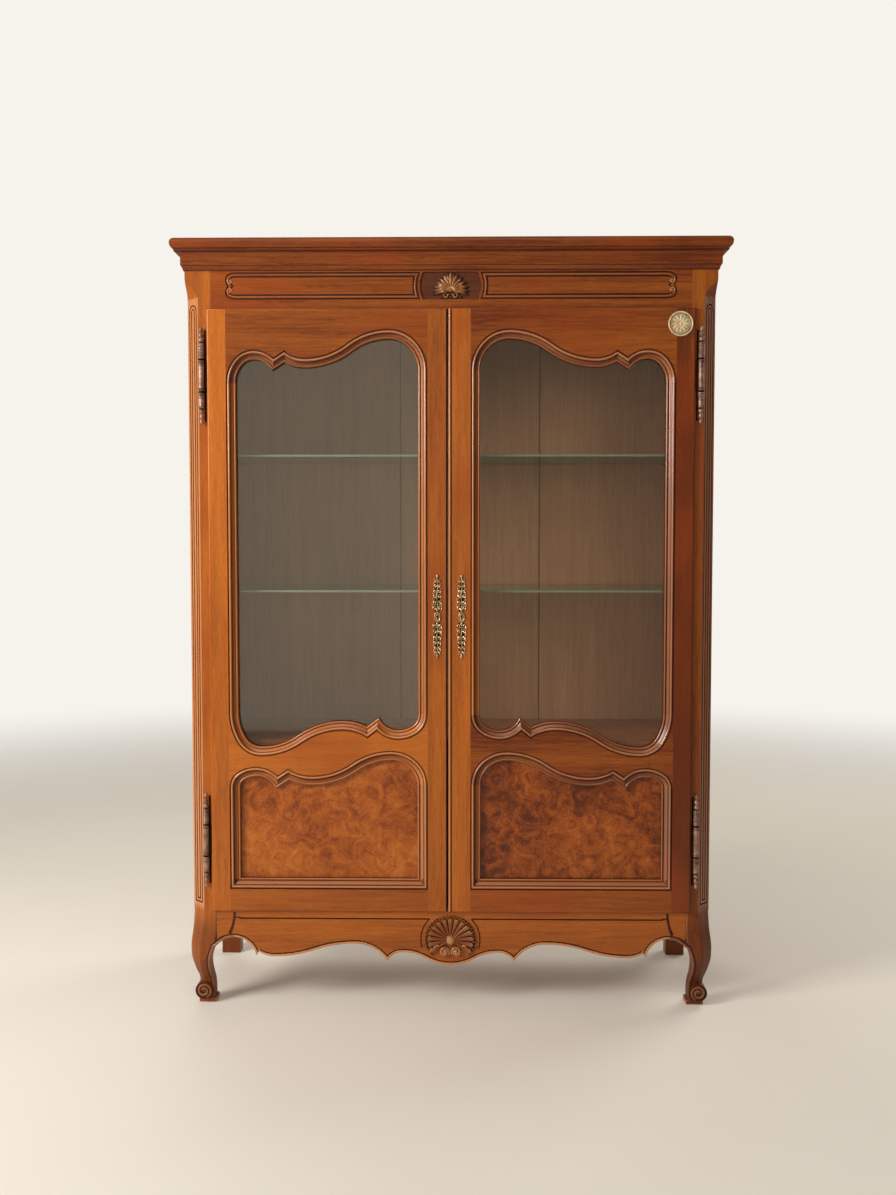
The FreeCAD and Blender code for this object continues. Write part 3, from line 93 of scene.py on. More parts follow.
class Wire:
    # one socket of a shader graph, which takes part in plain arithmetic
    def __init__(self, tree, socket=None):
        self.tree = tree
        self.socket = socket

    def make(self, kind, settings=None, inputs=None, out=0):
        node = self.tree.nodes.new(kind)
        for name, value in (settings or {}).items():
            if name == "stops":
                ramp = node.color_ramp
                while len(ramp.elements) < len(value):
                    ramp.elements.new(1)
                for element, (place, colour) in zip(ramp.elements, value):
                    element.position = place
                    element.color = tint(*colour)
            else:
                setattr(node, name, value)
        for name, value in (inputs or {}).items():
            if isinstance(value, Wire):
                self.tree.links.new(value.socket, node.inputs[name])
            else:
                node.inputs[name].default_value = value
        return Wire(self.tree, node.outputs[out] if node.outputs else None)

    def maths(self, operation, first, second):
        return self.make("ShaderNodeMath", {"operation": operation}, {0: first, 1: second})

    __add__, __radd__ = bothWays("ADD")
    __sub__, __rsub__ = bothWays("SUBTRACT")
    __mul__, __rmul__ = bothWays("MULTIPLY")

    def limited(self):
        return self.make("ShaderNodeClamp", None, {"Value": self})

    def ramped(self, low, high):
        # 0 below low, 1 above high, a soft step between
        return self.make("ShaderNodeMapRange", {"interpolation_type": "SMOOTHSTEP"},
                         {"Value": self, "From Min": low, "From Max": high})

    def blended(self, *colours):
        # this value as the share of the second colour over the first
        first, second = (colour if isinstance(colour, Wire) else tint(*colour) for colour in colours)
        return self.make("ShaderNodeMix", {"data_type": "RGBA"}, {0: self, 6: first, 7: second}, 2)

    def noise(self, scale, detail=3, roughness=0.55, distortion=0):
        # this socket is the place that the noise is read at
        return self.make("ShaderNodeTexNoise", None, {
            "Vector": self, "Scale": scale, "Detail": detail,
            "Roughness": roughness, "Distortion": distortion})

    def vector(self, operation, inputs, out=0):
        return self.make("ShaderNodeVectorMath", {"operation": operation}, inputs, out)

    def bumped(self, strength, distance):
        # this value as the height of a fine relief
        return self.make("ShaderNodeBump", None, {"Strength": strength, "Distance": distance, "Height": self})

    def place(self):
        return self.make("ShaderNodeTexCoord", None, None, "Object")

    def attribute(self, name):
        return self.make("ShaderNodeAttribute", {"attribute_name": name}, None, "Fac")

    def ray(self, kind):
        return self.make("ShaderNodeLightPath", None, None, "Is " + kind + " Ray")

    def principled(self, **inputs):
        return self.make("ShaderNodeBsdfPrincipled", None,
                         {name.replace("_", " "): value for name, value in inputs.items()})


def wired(holder, surface, *values, **named):
    # gives a material or a world the graph that the function surface builds
    holder.use_nodes = True
    holder.node_tree.nodes.clear()
    shader = surface(Wire(holder.node_tree), *values, **named)
    output = "ShaderNodeOutputWorld" if isinstance(holder, bpy.types.World) else "ShaderNodeOutputMaterial"
    shader.make(output, None, {"Surface": shader})
    return holder


def newMaterial(name, surface, *values, **named):
    return wired(bpy.data.materials.new(name), surface, *values, **named)


def boardPlace(wire):
    # each board reads its own stretch of the pattern
    board = wire.attribute("board")
    shift = wire.vector("SCALE", {0: (3.1, 5.7, 7.3), "Scale": board})
    return wire.vector("ADD", {0: wire.place(), 1: shift}), board


woodTones = {  # light, deep and red wood, pale edges with wear and painted highlight, dark hollows with wax and painted shade
    "cherry": ((206, 114, 34), (104, 43, 9), (150, 62, 16), (238, 170, 116), (52, 11, 5)),
    "inner": ((186, 136, 98), (138, 94, 64), (150, 102, 68), (196, 150, 112), (40, 22, 12)),
    "carved": ((150, 76, 26), (98, 42, 10), (120, 52, 16), (238, 178, 112), (34, 9, 4))}
woodGrain = {  # each noise: scale, detail, roughness, distortion; then the stretch along the grain
    "broad": (7, 3, 0.5, 0.6), "streak": (46, 4, 0.6, 0.3), "fibre": (420, 2, 0.6),
    "pores": (1500, 1, 0.5), "cloud": (2.6, 2), "along": 0.07}


def waxedWood(wire, axis, tones, shine=0.29, ringShare=0.18, figure=0.52):
    light, deep, red, pale, hollowTone = woodTones[tones]
    moved, board = boardPlace(wire)
    stretch = [woodGrain["along"] if letter == axis else 1 for letter in "XYZ"]
    grain = moved.vector("MULTIPLY", {0: moved, 1: stretch})
    names = ("broad", "streak", "fibre", "pores")
    broad, streak, fibre, pores = (grain.noise(*woodGrain[name]) for name in names)
    cloud = moved.noise(*woodGrain["cloud"])
    rings = wire.make("ShaderNodeTexWave",
                      {"wave_type": "RINGS", "rings_direction": axis, "wave_profile": "SAW"},
                      {"Vector": grain, "Scale": 26, "Distortion": 9, "Detail": 3,
                       "Detail Scale": 3, "Detail Roughness": 0.6}, "Fac")
    tone = (broad - 0.5) + (streak - 0.5) * figure + (rings - 0.5) * ringShare + (fibre - 0.5) * 0.35
    tone = tone + (board - 0.45) * 0.9 + 0.54
    poreShare = pores.ramped(0.58, 0.72) * 0.3
    # the hollows darken with wax and painted shade, the raised edges pale with wear and a painted highlight
    worn = wire.attribute("worn")
    darkening = (wire.attribute("hollow") * 1.8).limited()
    colour = tone.limited().blended(deep, light)
    for share, over in ((cloud.ramped(0.48, 0.7) * 0.55, red), (poreShare, deep), (worn * 0.6, pale),
                        (darkening * 0.94, hollowTone)):
        colour = share.blended(colour, over)
    height = fibre * 0.6 - poreShare * 2 + streak * 0.3
    rough = fibre * 0.14 + streak * 0.1 + darkening * 0.3 - worn * 0.08 + (shine - 0.12)
    return wire.principled(
        Base_Color=colour, Roughness=rough, Normal=height.bumped(0.2, 0.0005), Specular_IOR_Level=0.3,
        Coat_Weight=worn * 0.7, Coat_Roughness=0.14)


def burrVeneer(wire):
    moved, board = boardPlace(wire)
    drift = moved.noise(5, 2, 0.5, 1)
    swirl = moved.noise(22, 6, 0.68, 1.6)
    fine = moved.noise(120, 4, 0.65, 1.8)
    eyes = wire.make("ShaderNodeTexVoronoi", {"feature": "F1"},
                     {"Vector": moved, "Scale": 46, "Randomness": 1}, "Distance")
    tone = (swirl - 0.5) * 1.4 + (drift - 0.5) * 0.7 + (fine - 0.5) * 0.8 + (board - 0.35) * 0.3 + 0.52
    colour = tone.make("ShaderNodeValToRGB", {"stops": [
        (0.1, (84, 32, 6)), (0.32, (128, 57, 12)), (0.52, (160, 79, 20)),
        (0.7, (178, 94, 27)), (0.95, (200, 116, 42))]}, {"Fac": tone})
    spots = (1 - eyes.ramped(0.04, 0.16)) * drift.ramped(0.45, 0.58)
    colour = (spots * 0.45).blended(colour, (70, 26, 6))
    # darker in the hollows: wax and painted shade
    colour = (wire.attribute("hollow") * 0.9).limited().blended(colour, woodTones["cherry"][-1])
    return wire.principled(Base_Color=colour, Roughness=fine * 0.12 + 0.24, Normal=fine.bumped(0.08, 0.0004),
                           Specular_IOR_Level=0.35)


def paleGlass(wire, clear, edge):
    # clear straight through, with the gloss of a polished sheet that is the same from both of its faces
    ripple = wire.place().noise(5, 1).bumped(0.05, 0.002)
    through = wire.make("ShaderNodeBsdfTransparent", None, {"Color": tint(*clear)})
    gloss = wire.make("ShaderNodeBsdfGlossy", None,
                      {"Color": tint(*edge), "Roughness": 0.03, "Normal": ripple})
    facing = wire.make("ShaderNodeLayerWeight", None, {"Blend": 0.5}, "Facing")
    share = wire.maths("POWER", facing, 5) * 1.2 + 0.075
    return wire.make("ShaderNodeMixShader", None, {0: share.limited(), 1: through, 2: gloss})


def greenEdge(wire):
    # the polished edge of a sheet, where the glass shows its own colour
    drift = wire.place().noise(14, 2)
    return wire.principled(Base_Color=drift.blended((104, 126, 108), (134, 150, 128)),
                           Roughness=drift * 0.1 + 0.12, Specular_IOR_Level=0.5)


def agedMetal(wire, bright, dull, dirty, rough, scale, metal=1):
    place = wire.place()
    patches = place.noise(scale, 4, 0.6, 0.4)
    specks = place.noise(scale * 9, 2, 0.6)
    darkening = (wire.attribute("hollow") * 1.2 + specks.ramped(0.62, 0.8) * 0.35).limited()
    colour = darkening.blended(patches.ramped(0.36, 0.66).blended(bright, dull), dirty)
    return wire.principled(
        Base_Color=colour, Metallic=metal - darkening * 0.7 * metal, Normal=specks.bumped(0.12, 0.0003),
        Roughness=patches * 0.2 + darkening * 0.3 + (rough - 0.1))


metals = {  # bright, dull and dirty tone, roughness, scale of the patches, share of bare metal
    "brass": ("agedBrass", (214, 182, 136), (156, 120, 80), (42, 25, 14), 0.3, 60),
    "patina": ("darkPatina", (58, 36, 20), (40, 24, 14), (22, 12, 7), 0.7, 60),
    "plate": ("giltPlate", (242, 218, 172), (210, 180, 126), (92, 62, 36), 0.38, 60, 0.3),
    "bronze": ("darkBronze", (176, 134, 112), (112, 80, 64), (28, 15, 10), 0.4, 45, 0.5),
    "iron": ("blackIron", (30, 26, 24), (18, 15, 13), (10, 8, 7), 0.6, 70),
    "steel": ("brightSteel", (200, 199, 196), (178, 177, 174), (120, 116, 110), 0.3, 180)}
finishes = {
    "carved": newMaterial("carvedCherry", waxedWood, "Z", "carved", shine=0.24, ringShare=0.1),
    "burr": newMaterial("burrVeneer", burrVeneer),
    "glass": newMaterial("clearDoorGlass", paleGlass, (252, 251, 248), (240, 228, 208)),
    "shelfGlass": newMaterial("greenShelfGlass", paleGlass, (226, 240, 232), (220, 240, 230)),
    "shelfEdge": newMaterial("greenShelfEdge", greenEdge)}
for axis in "XYZ":
    finishes["cherry" + axis] = newMaterial("cherryAlong" + axis, waxedWood, axis, "cherry")
    finishes["inner" + axis] = newMaterial("innerBoardAlong" + axis, waxedWood, axis, "inner",
                                           shine=0.55, ringShare=0.3, figure=0.5)
for name, (title, *values) in metals.items():
    finishes[name] = newMaterial(title, agedMetal, *values)
print("finishes made:", len(finishes))


# boards that keep the shape of their node

boards = {  # wood with the axis of its grain, and tone: two tones stand for a left and a right board; the tones are partly the wood's own and partly painted shade, lower towards the right and the top where less light falls
    "rear_post_{}": ("cherryZ", 0.24, 0.31), "side_panel_{}": ("cherryZ", 0.44, 0.63),
    "frieze_rail": ("cherryX", 0.22), "apron_rail": ("cherryX", 0.39),
    "side_top_rail_{}": ("cherryY", 0.27, 0.58), "side_bottom_rail_{}": ("cherryY", 0.41, 0.66),
    "back_top_rail": ("innerX", 0.31), "back_bottom_rail": ("innerX", 0.57),
    "back_board_left": ("innerZ", 0.36), "back_board_centre": ("innerZ", 0.6),
    "back_board_right": ("innerZ", 0.5),
    "floor_board": ("innerX", 0.42), "ceiling_board": ("innerX", 0.36), "wood_shelf": ("cherryX", 0.22),
    "cornice_front": ("cherryX", -0.12), "cornice_{}": ("cherryY", 0.11, 0.17),
    "cornice_back": ("innerX", 0.29),
    "{}_door_hinge_stile": ("cherryZ", 0.62, -0.12), "{}_door_meeting_stile": ("cherryZ", 0.43, 0.51),
    "{}_door_top_rail": ("cherryX", 0.15, 0.05), "{}_door_middle_rail": ("cherryX", 0.65, 0.06),
    "{}_door_bottom_rail": ("cherryX", 0.32, 0.19), "{}_door_beads": ("cherryZ", 0.41, 0.37),
    "{}_door_burr_panel": ("burr", 0.42, -0.2)}


def mergedCopy(node):
    bm = bmesh.new()
    bm.from_mesh(nodes[node].data)
    bmesh.ops.remove_doubles(bm, verts=bm.verts, dist=0.00001)
    return bm


def wholeOf(bm):
    return list(bm.verts) + list(bm.edges) + list(bm.faces)


def markLayers(bm):
    # for each corner: wax, dust and painted shade in the hollows; wear and painted highlight on the raised
    # edges
    layers = bm.loops.layers.float
    return [layers.get(name) or layers.new(name) for name in ("hollow", "worn")]


def flatGroups(bm):
    # faces that lie in one plane count as one
    groups = {}
    for start in bm.faces:
        if start in groups:
            continue
        group = [start]
        groups[start] = group
        for face in group:
            for edge in face.edges:
                if len(edge.link_faces) == 2 and edge.calc_face_angle(1) < 0.01:
                    for other in edge.link_faces:
                        if other not in groups:
                            groups[other] = group
                            group.append(other)
    return groups


edgeMarks = {  # bend that a mark starts at, and how much more makes it full
    "sunk": (0.35, 0.5), "raised": (0.33, 0.35), "longShare": 0.35, "groove": 0.9, "grooveGround": 0.4}


def markEdges(bm, narrow, paleShare=1):
    # grooves get dark wax and painted shade, raised edges wear pale with a painted highlight: narrow faces
    # only, along their longer edges
    hollow, worn = markLayers(bm)
    groups = flatGroups(bm)
    slim = {}
    longest = {}
    for group in groups.values():
        if id(group) not in slim:
            area = sum(face.calc_area() for face in group)
            rim = [edge.calc_length() for face in group for edge in face.edges
                   if any(groups[other] is not group for other in edge.link_faces)]
            slim[id(group)] = 2 * area < narrow * sum(rim)
            longest[id(group)] = max(rim, default=0)
    sunk = {}
    raised = {}

    def mark(marks, key, name, bend):
        start, run = edgeMarks[name]
        marks[key] = max(marks.get(key, 0), clamped((bend - start) / run))

    for edge in bm.edges:
        pair = [groups[face] for face in edge.link_faces]
        if len(pair) != 2 or pair[0] is pair[1]:
            continue
        bend = edge.calc_face_angle_signed(0)
        both = all(slim[id(group)] for group in pair)
        for group in pair:
            if slim[id(group)] and edge.calc_length() > edgeMarks["longShare"] * longest[id(group)]:
                for vert in edge.verts:
                    mark(sunk, (id(group), vert), "sunk", -bend)
                    if both:
                        mark(raised, (id(group), vert), "raised", bend)
    grooved = {key[0] for key, share in sunk.items() if share > edgeMarks["groove"]}
    for face, group in groups.items():
        ground = edgeMarks["grooveGround"] if id(group) in grooved else 0
        for loop in face.loops:
            key = (id(group), loop.vert)
            loop[hollow] = max(sunk.get(key, 0), ground)
            loop[worn] = raised.get(key, 0) * (1 - loop[hollow]) * paleShare


def addDarkAndPale(bm, share):
    # more darkening, or paleness below zero, where a board or carving calls for it: dark joints, and painted
    # shade, shadow and highlight
    hollow, worn = markLayers(bm)
    for face in bm.faces:
        centre = face.calc_center_median()
        for loop in face.loops:
            amount = share(centre, loop.vert.co)
            loop[hollow] = max(loop[hollow], min(amount, 1))
            loop[worn] *= max(0, 1 - 2 * max(amount, 0))
            if amount < 0:
                loop[hollow] = 0
                loop[worn] = min(1, -amount)


def addObject(name, data):
    thing = bpy.data.objects.new(name, data)
    bpy.context.scene.collection.objects.link(thing)
    return thing


def meshPiece(bm, name, body, finish, board=0.5, sharpAngle=32):
    layer = bm.verts.layers.float.new("board")
    for vert in bm.verts:
        vert[layer] = board
    for face in bm.faces:
        face.smooth = True
        face.material_index = 0
    for edge in bm.edges:
        edge.smooth = edge.calc_face_angle(0) < math.radians(sharpAngle)
    mesh = bpy.data.meshes.new(name)
    bm.to_mesh(mesh)
    bm.free()
    if "custom_normal" in mesh.attributes:
        mesh.attributes.remove(mesh.attributes["custom_normal"])
    mesh.materials.append(finishes[finish])
    piece = addObject(name, mesh)
    evenNormals = piece.modifiers.new("evenNormals", "WEIGHTED_NORMAL")
    evenNormals.keep_sharp = True
    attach(piece, body)
    return piece


def boxMarks(amount, wide, deep, tall=(0, 2)):
    # darker, or paler below zero, on the faces whose middle lies in a box
    def share(centre, point):
        inside = all(low < value < high for value, (low, high) in zip(centre, (wide, deep, tall)))
        return amount if inside else 0
    return share


backSeams = {"across": (-0.152, 0.254), "half": 0.0007, "beside": 0.003, "darkening": 0.7}
rearFoot = {"heights": (0.05, 0.25), "darkening": 0.2}
corniceJoints = {1.92: 0.7, 1.932: 0.7, 1.966: 0.45}  # height of a line, and how dark it is
corniceLineHalf = 0.0008


def rearFootShade(centre, point):
    # painted shade: the feet at the back darken towards the floor
    low, high = rearFoot["heights"]
    return rearFoot["darkening"] * clamped((high - point.z) / (high - low))


def corniceLines(centre, point):
    # dark lines where one member of the cornice meets the next: dark joints with painted shadow under the
    # projecting members
    for line, dark in corniceJoints.items():
        if abs(point.z - line) < corniceLineHalf and centre.y < 0.2:
            return dark
    return 0


def seamLines(centre, point):
    # the joints between the three boards of the back
    near = min(backSeams["across"], key=lambda seam: abs(seam - centre.x))
    onSeam = abs(point.x - near) < backSeams["half"] and abs(centre.x - near) < backSeams["beside"]
    return backSeams["darkening"] if onSeam else 0


boardMarks = {
    # painted shade on the sunk ground behind the carving, a painted shadow on the edge beside the closing
    # bead, and that bead drawn pale
    "frieze_rail": boxMarks(0.4, (-0.079, 0.079), (-0.2045, -0.2025), (1.845, 1.917)),
    "left_door_meeting_stile": boxMarks(0.9, (-0.0122, 0.1), (-0.3, -0.2125)),
    "right_door_meeting_stile": boxMarks(-0.6, (-0.0052, 0.0011), (-0.3, -0.2125))}
cutsOf = {}
for place in ("left", "centre", "right"):
    boardMarks["back_board_" + place] = seamLines
    cutsOf["back_board_" + place] = [Vector((seam + step, 0, 0)) for seam in backSeams["across"]
                                     for step in (-backSeams["beside"], backSeams["beside"])]
for side in sides:
    boardMarks["rear_post_" + side] = rearFootShade
    cutsOf["rear_post_" + side] = [Vector((0, 0, height)) for height in rearFoot["heights"]]
for place in ("front", "left", "right"):
    boardMarks["cornice_" + place] = corniceLines
paleShareOf = {"frieze_rail": 0.15}
# the first vector points away from the light; each pair gives the value for a face turned to the light, then
# for one turned away: painted shade and painted highlight
doorMoulding = {
    "wallBack": -0.2066, "beadBack": -0.2141, "coveFoot": -0.2079, "awayFromLight": Vector((0.75, 0, -0.65)),
    "coveShade": (0.04, 0.4), "creaseShade": (0.42, 1), "coveHighlight": (0.34, 0), "wallShade": 0.5, "innerDarkShare": 0.5,
    "innerPaleShare": 0.3}


def shadeMoulding(bm):
    # painted shade: the hollow darkens towards the outer bead; faces turned to the light get a painted
    # highlight and paler creases, those turned away get painted shade, and the walls beside the glass or
    # panel get painted shade
    hollow, worn = markLayers(bm)
    foot, back = doorMoulding["coveFoot"], doorMoulding["beadBack"]
    for face in bm.faces:
        depth = face.calc_center_median().y
        # share of painted shade: how far the face turns away from the light
        shadedShare = clamped(0.5 + 1.4 * face.normal.dot(doorMoulding["awayFromLight"]))
        names = ("coveShade", "creaseShade", "coveHighlight")
        coveShade, creaseShade, coveHighlight = (between(doorMoulding[name], shadedShare) for name in names)
        for loop in face.loops:
            if depth > doorMoulding["wallBack"] and abs(face.normal.y) < 0.3:  # beside the glass or panel: painted shade in the recess
                loop[hollow] = doorMoulding["wallShade"]
                loop[worn] = 0
            elif depth > foot:
                loop[hollow] = max(loop[hollow] * doorMoulding["innerDarkShare"], coveShade * 0.5)
                loop[worn] = max(loop[worn] * doorMoulding["innerPaleShare"], coveHighlight)
            elif depth > back:
                share = clamped((foot - loop.vert.co.y) / (foot - back))
                loop[hollow] = max(min(loop[hollow], creaseShade), coveShade * (0.4 + 0.7 * share))
                loop[worn] = max(loop[worn] * doorMoulding["innerPaleShare"], coveHighlight * (1 - loop[hollow]))


apronBead = {"reach": 0.0075, "paleShare": 0.8, "below": 0.2}


def paleLowerEdge(bm):
    # the bead along the shaped lower edge is drawn pale as far as its groove: a painted highlight
    hollow, worn = markLayers(bm)
    under = [[vert.co for vert in edge.verts] for edge in bm.edges
             if all(face.normal.z < -0.1 for face in edge.link_faces)]
    under = [ends for ends in under if abs(ends[0].y - ends[1].y) < 0.001 and ends[0].z < apronBead["below"]]
    spots = [ends[0].lerp(ends[1], share) for ends in under for share in shares(8)]
    tree = KDTree(len(spots))
    for index, spot in enumerate(spots):
        tree.insert((spot.x, 0, spot.z), index)
    tree.balance()
    for face in bm.faces:
        centre = face.calc_center_median()
        corners = [vert.co for vert in face.verts]
        tested = [centre] + corners + [corner.lerp(centre, 0.5) for corner in corners]
        tested += [edge.verts[0].co.lerp(edge.verts[1].co, 0.5) for edge in face.edges]
        near = all(tree.find((spot.x, 0, spot.z))[2] < apronBead["reach"] for spot in tested)
        if near and face.normal.y < -0.3 and centre.y < -0.2:
            for loop in face.loops:
                loop[worn] = apronBead["paleShare"] * (1 - loop[hollow])


grooveWidth = 0.006  # faces slimmer than this count as grooves and beads


def dressBoard(node, finish, board):
    bm = mergedCopy(node)
    for cut in cutsOf.get(node, []):
        bmesh.ops.bisect_plane(bm, geom=wholeOf(bm), dist=0.000001, plane_co=cut, plane_no=cut.normalized())
    markEdges(bm, 0 if node.startswith(("cornice", "back_board")) else grooveWidth, paleShareOf.get(node, 1))
    if "_door_" in node and node.endswith(("stile", "rail")):
        shadeMoulding(bm)
    if node in boardMarks:
        addDarkAndPale(bm, boardMarks[node])
    if node == "apron_rail":
        paleLowerEdge(bm)
    piece = meshPiece(bm, "board." + node, nodes[node]["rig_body"], finish, board)
    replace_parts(piece, node)


for name, (finish, *tones) in boards.items():
    for side, tone in zip(sides, tones):
        dressBoard(name.format(side), finish, tone)
print("boards dressed:", sum(len(values) - 1 for values in boards.values()))


# tools for carved and turned pieces, sizes in millimetres

mm = 0.001
towardsViewer = Vector((0, -1, 0))
doorFront = -217
postFace = -207


def edgesOf(verts):
    return list({edge for vert in verts for edge in vert.link_edges})


def grownRing(bm, edges):
    # the verts and edges of a new ring, drawn out of the last one
    grown = bmesh.ops.extrude_edge_only(bm, edges=edges)["geom"]
    verts = [part for part in grown if isinstance(part, bmesh.types.BMVert)]
    fresh = set(verts)
    rim = [part for part in grown if isinstance(part, bmesh.types.BMEdge) and set(part.verts) <= fresh]
    return verts, rim


def sweptRod(bm, path, sizes, segments=8):
    # a rod laid along a path: its half width and half depth, for the whole of it or at each point
    frames = []
    for step, place in enumerate(path):
        along = (path[min(step + 1, len(path) - 1)] - path[max(step - 1, 0)]).normalized()
        side = along.cross(towardsViewer).normalized()
        turn = Matrix((side, side.cross(along), along)).transposed().to_4x4()
        wide, deep = sizes if isinstance(sizes, tuple) else sizes[step]
        frames.append(Matrix.Translation(place) @ turn @ Matrix.Diagonal((wide, deep, 1, 1)))
    edges = edgesOf(bmesh.ops.create_circle(bm, cap_ends=True, segments=segments, radius=1,
                                            matrix=frames[0])["verts"])
    for last, following in zip(frames, frames[1:]):
        ring, edges = grownRing(bm, edges)
        bmesh.ops.transform(bm, matrix=following @ last.inverted(), verts=ring)
    bmesh.ops.contextual_create(bm, geom=edges)


def arc(centre, radii, angles, steps):
    # points of an upright ellipse, angles in degrees
    turns = [math.radians(between(angles, share)) for share in shares(steps)]
    return [Vector(centre) + Vector((math.cos(turn) * radii[0], 0, math.sin(turn) * radii[1]))
            for turn in turns]


def curl(centre, radii, angles, steps, lift=(0, 0)):
    # points of a spiral in an upright plane, from its outer end to its eye
    points = arc((0, 0, 0), (1, 1), angles, steps)
    return [Vector(centre) + point * between(radii, share) + towardsViewer * between(lift, share)
            for point, share in zip(points, shares(steps))]


def tapered(steps, half, ends):
    # half sizes along a rod that is full in the middle
    swells = [between((between(ends, share), 1), math.sin(math.pi * share) ** 0.6) for share in shares(steps)]
    return [(half[0] * max(swell, 0.05), half[1] * max(swell, 0.05)) for swell in swells]


def scroll(bm, centre, radii, angles, steps, half, ends, side=1, lift=(0, 0), segments=8):
    # a rolled rod, its angles given for the right side and mirrored for the left
    if side < 0:
        angles = [180 - angle for angle in angles]
    sweptRod(bm, curl(centre, radii, angles, steps, lift), tapered(steps, half, ends), segments)


def placed(middle, size):
    return Matrix.Translation(middle) @ Matrix.Diagonal((*size, 1))


def dome(bm, centre, radius, size=(1, 1, 1)):
    bmesh.ops.create_uvsphere(bm, u_segments=16, v_segments=10, radius=radius, matrix=placed(centre, size))


def block(bm, middle, size):
    return bmesh.ops.create_cube(bm, size=1, matrix=placed(middle, size))["verts"]


def drum(bm, middle, radius, depth, segments, size=(1, 1, 1)):
    # a cylinder that faces the viewer
    lie = placed(middle, size) @ Matrix.Rotation(math.radians(90), 4, "X")
    bmesh.ops.create_cone(bm, cap_ends=True, segments=segments, radius1=radius, radius2=radius, depth=depth,
                          matrix=lie)


def turned(bm, centre, profile, axis=(0, 0, 1), segments=24):
    # a turned piece: radius and distance along the axis for each point of its outline
    away = Vector(axis).orthogonal().normalized()
    verts = [bm.verts.new(Vector(centre) + away * radius + Vector(axis) * along) for radius, along in profile]
    edges = [bm.edges.new(pair) for pair in zip(verts, verts[1:])]
    bmesh.ops.spin(bm, geom=verts + edges, cent=centre, axis=axis, angle=2 * math.pi, steps=segments,
                   use_merge=True)


def depthShadeAndHighlight(ground, dark, bright):
    # painted shade near the ground of a carving, painted highlight and wear on its highest parts
    def share(centre, point):
        depth = ground - point.y
        if depth < dark:
            return 1 - depth / dark
        return -clamped((depth - bright[0]) / (bright[1] - bright[0]))
    return share


def carvedPiece(bm, name, body, finish, board=0.5, narrow=6, sharpAngle=50, marking=None):
    # closes a carving made in millimetres and hands it over in metres
    bmesh.ops.remove_doubles(bm, verts=bm.verts, dist=0.002)
    bmesh.ops.recalc_face_normals(bm, faces=bm.faces)
    markEdges(bm, narrow)
    if marking:
        addDarkAndPale(bm, marking)
    bmesh.ops.scale(bm, vec=(mm, mm, mm), verts=bm.verts)
    return meshPiece(bm, name, body, finish, board, sharpAngle)


# the two carved shells

apronShell = {
    "hub": (0, postFace, 177), "radius": 58, "stretch": 1.03, "ribs": 15, "spread": 258, "rise": 5,
    "ribHeight": 5.5, "hubRadius": 12.5, "lobe": 0.12, "pearl": (3.4, 0.95), "rimBead": (2.9, 1.08, 2.6),
    "volute": 12.5, "voluteDrop": 31, "voluteGap": 3, "eye": 4.2,
    "leaves": [(37, 12, 0), (48, 9, 24)]}  # distance from the hub, radius, turn


def fanShell(shape):
    bm = bmesh.new()
    hub = Vector(shape["hub"])
    ribs = shape["ribs"]

    def around(turn, reach, lift):
        # a place on the fan: share of its spread, distance from the hub, height over the ground
        angle = math.radians(90 + shape["spread"] * (0.5 - turn))
        return hub + Vector((math.cos(angle) * reach * shape["stretch"], -lift, math.sin(angle) * reach))

    bmesh.ops.create_grid(bm, x_segments=ribs * 8, y_segments=14, size=0.5)
    for vert in bm.verts:
        turn = vert.co.x + 0.5
        out = vert.co.y + 0.5
        rib = abs(math.sin(math.pi * ribs * turn))
        reach = shape["radius"] * (0.1 + 0.9 * out) * (1 - shape["lobe"] * (1 - rib ** 0.7) * out)
        lift = shape["rise"] * (1.5 - 2.2 * out + 1.5 * out * out)
        lift += shape["ribHeight"] * (rib ** 0.6) * out ** 0.6
        vert.co = around(turn, reach, lift)
    backVerts, backRim = grownRing(bm, [edge for edge in bm.edges if edge.is_boundary])
    for vert in backVerts:
        vert.co.y = hub.y
    bmesh.ops.contextual_create(bm, geom=backRim)
    size, place = shape["pearl"]
    for rib in range(ribs):  # a pearl closes each rib at the rim
        dome(bm, around((rib + 0.5) / ribs, shape["radius"] * place, shape["rise"]), size)
    size, place, lift = shape["rimBead"]
    for share in shares(2 * ribs):
        dome(bm, around(share, shape["radius"] * place, lift), size)
    dome(bm, hub + Vector((0, -shape["rise"], 0)), shape["hubRadius"], (1, 0.55, 1.1))
    for side in sides.values():
        centre = hub + Vector((side * (shape["volute"] + shape["voluteGap"]), -4, -shape["voluteDrop"]))
        scroll(bm, centre, (shape["volute"], 2.5), (210, -300), 40, (4.6, 5), (0.55, 0.6), side, (0, 3))
        dome(bm, centre + Vector((0, -3, 0)), shape["eye"])
        for place, size, turn in shape["leaves"]:  # they spread from the scrolls
            leaf = hub + Vector((side * place, -3.5, -0.72 * place + 2))
            scroll(bm, leaf, (size, size * 0.35), (160 - turn, -20 - turn), 18, (3.6, 4.5), (0.25, 0.5), side,
                   (0, 2))
    return bm


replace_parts(carvedPiece(fanShell(apronShell), "apronShellCarving", "carcass", "carved", 0.5,
                        marking=depthShadeAndHighlight(postFace, 5.8, (7.4, 12.5))), "apron_shell")

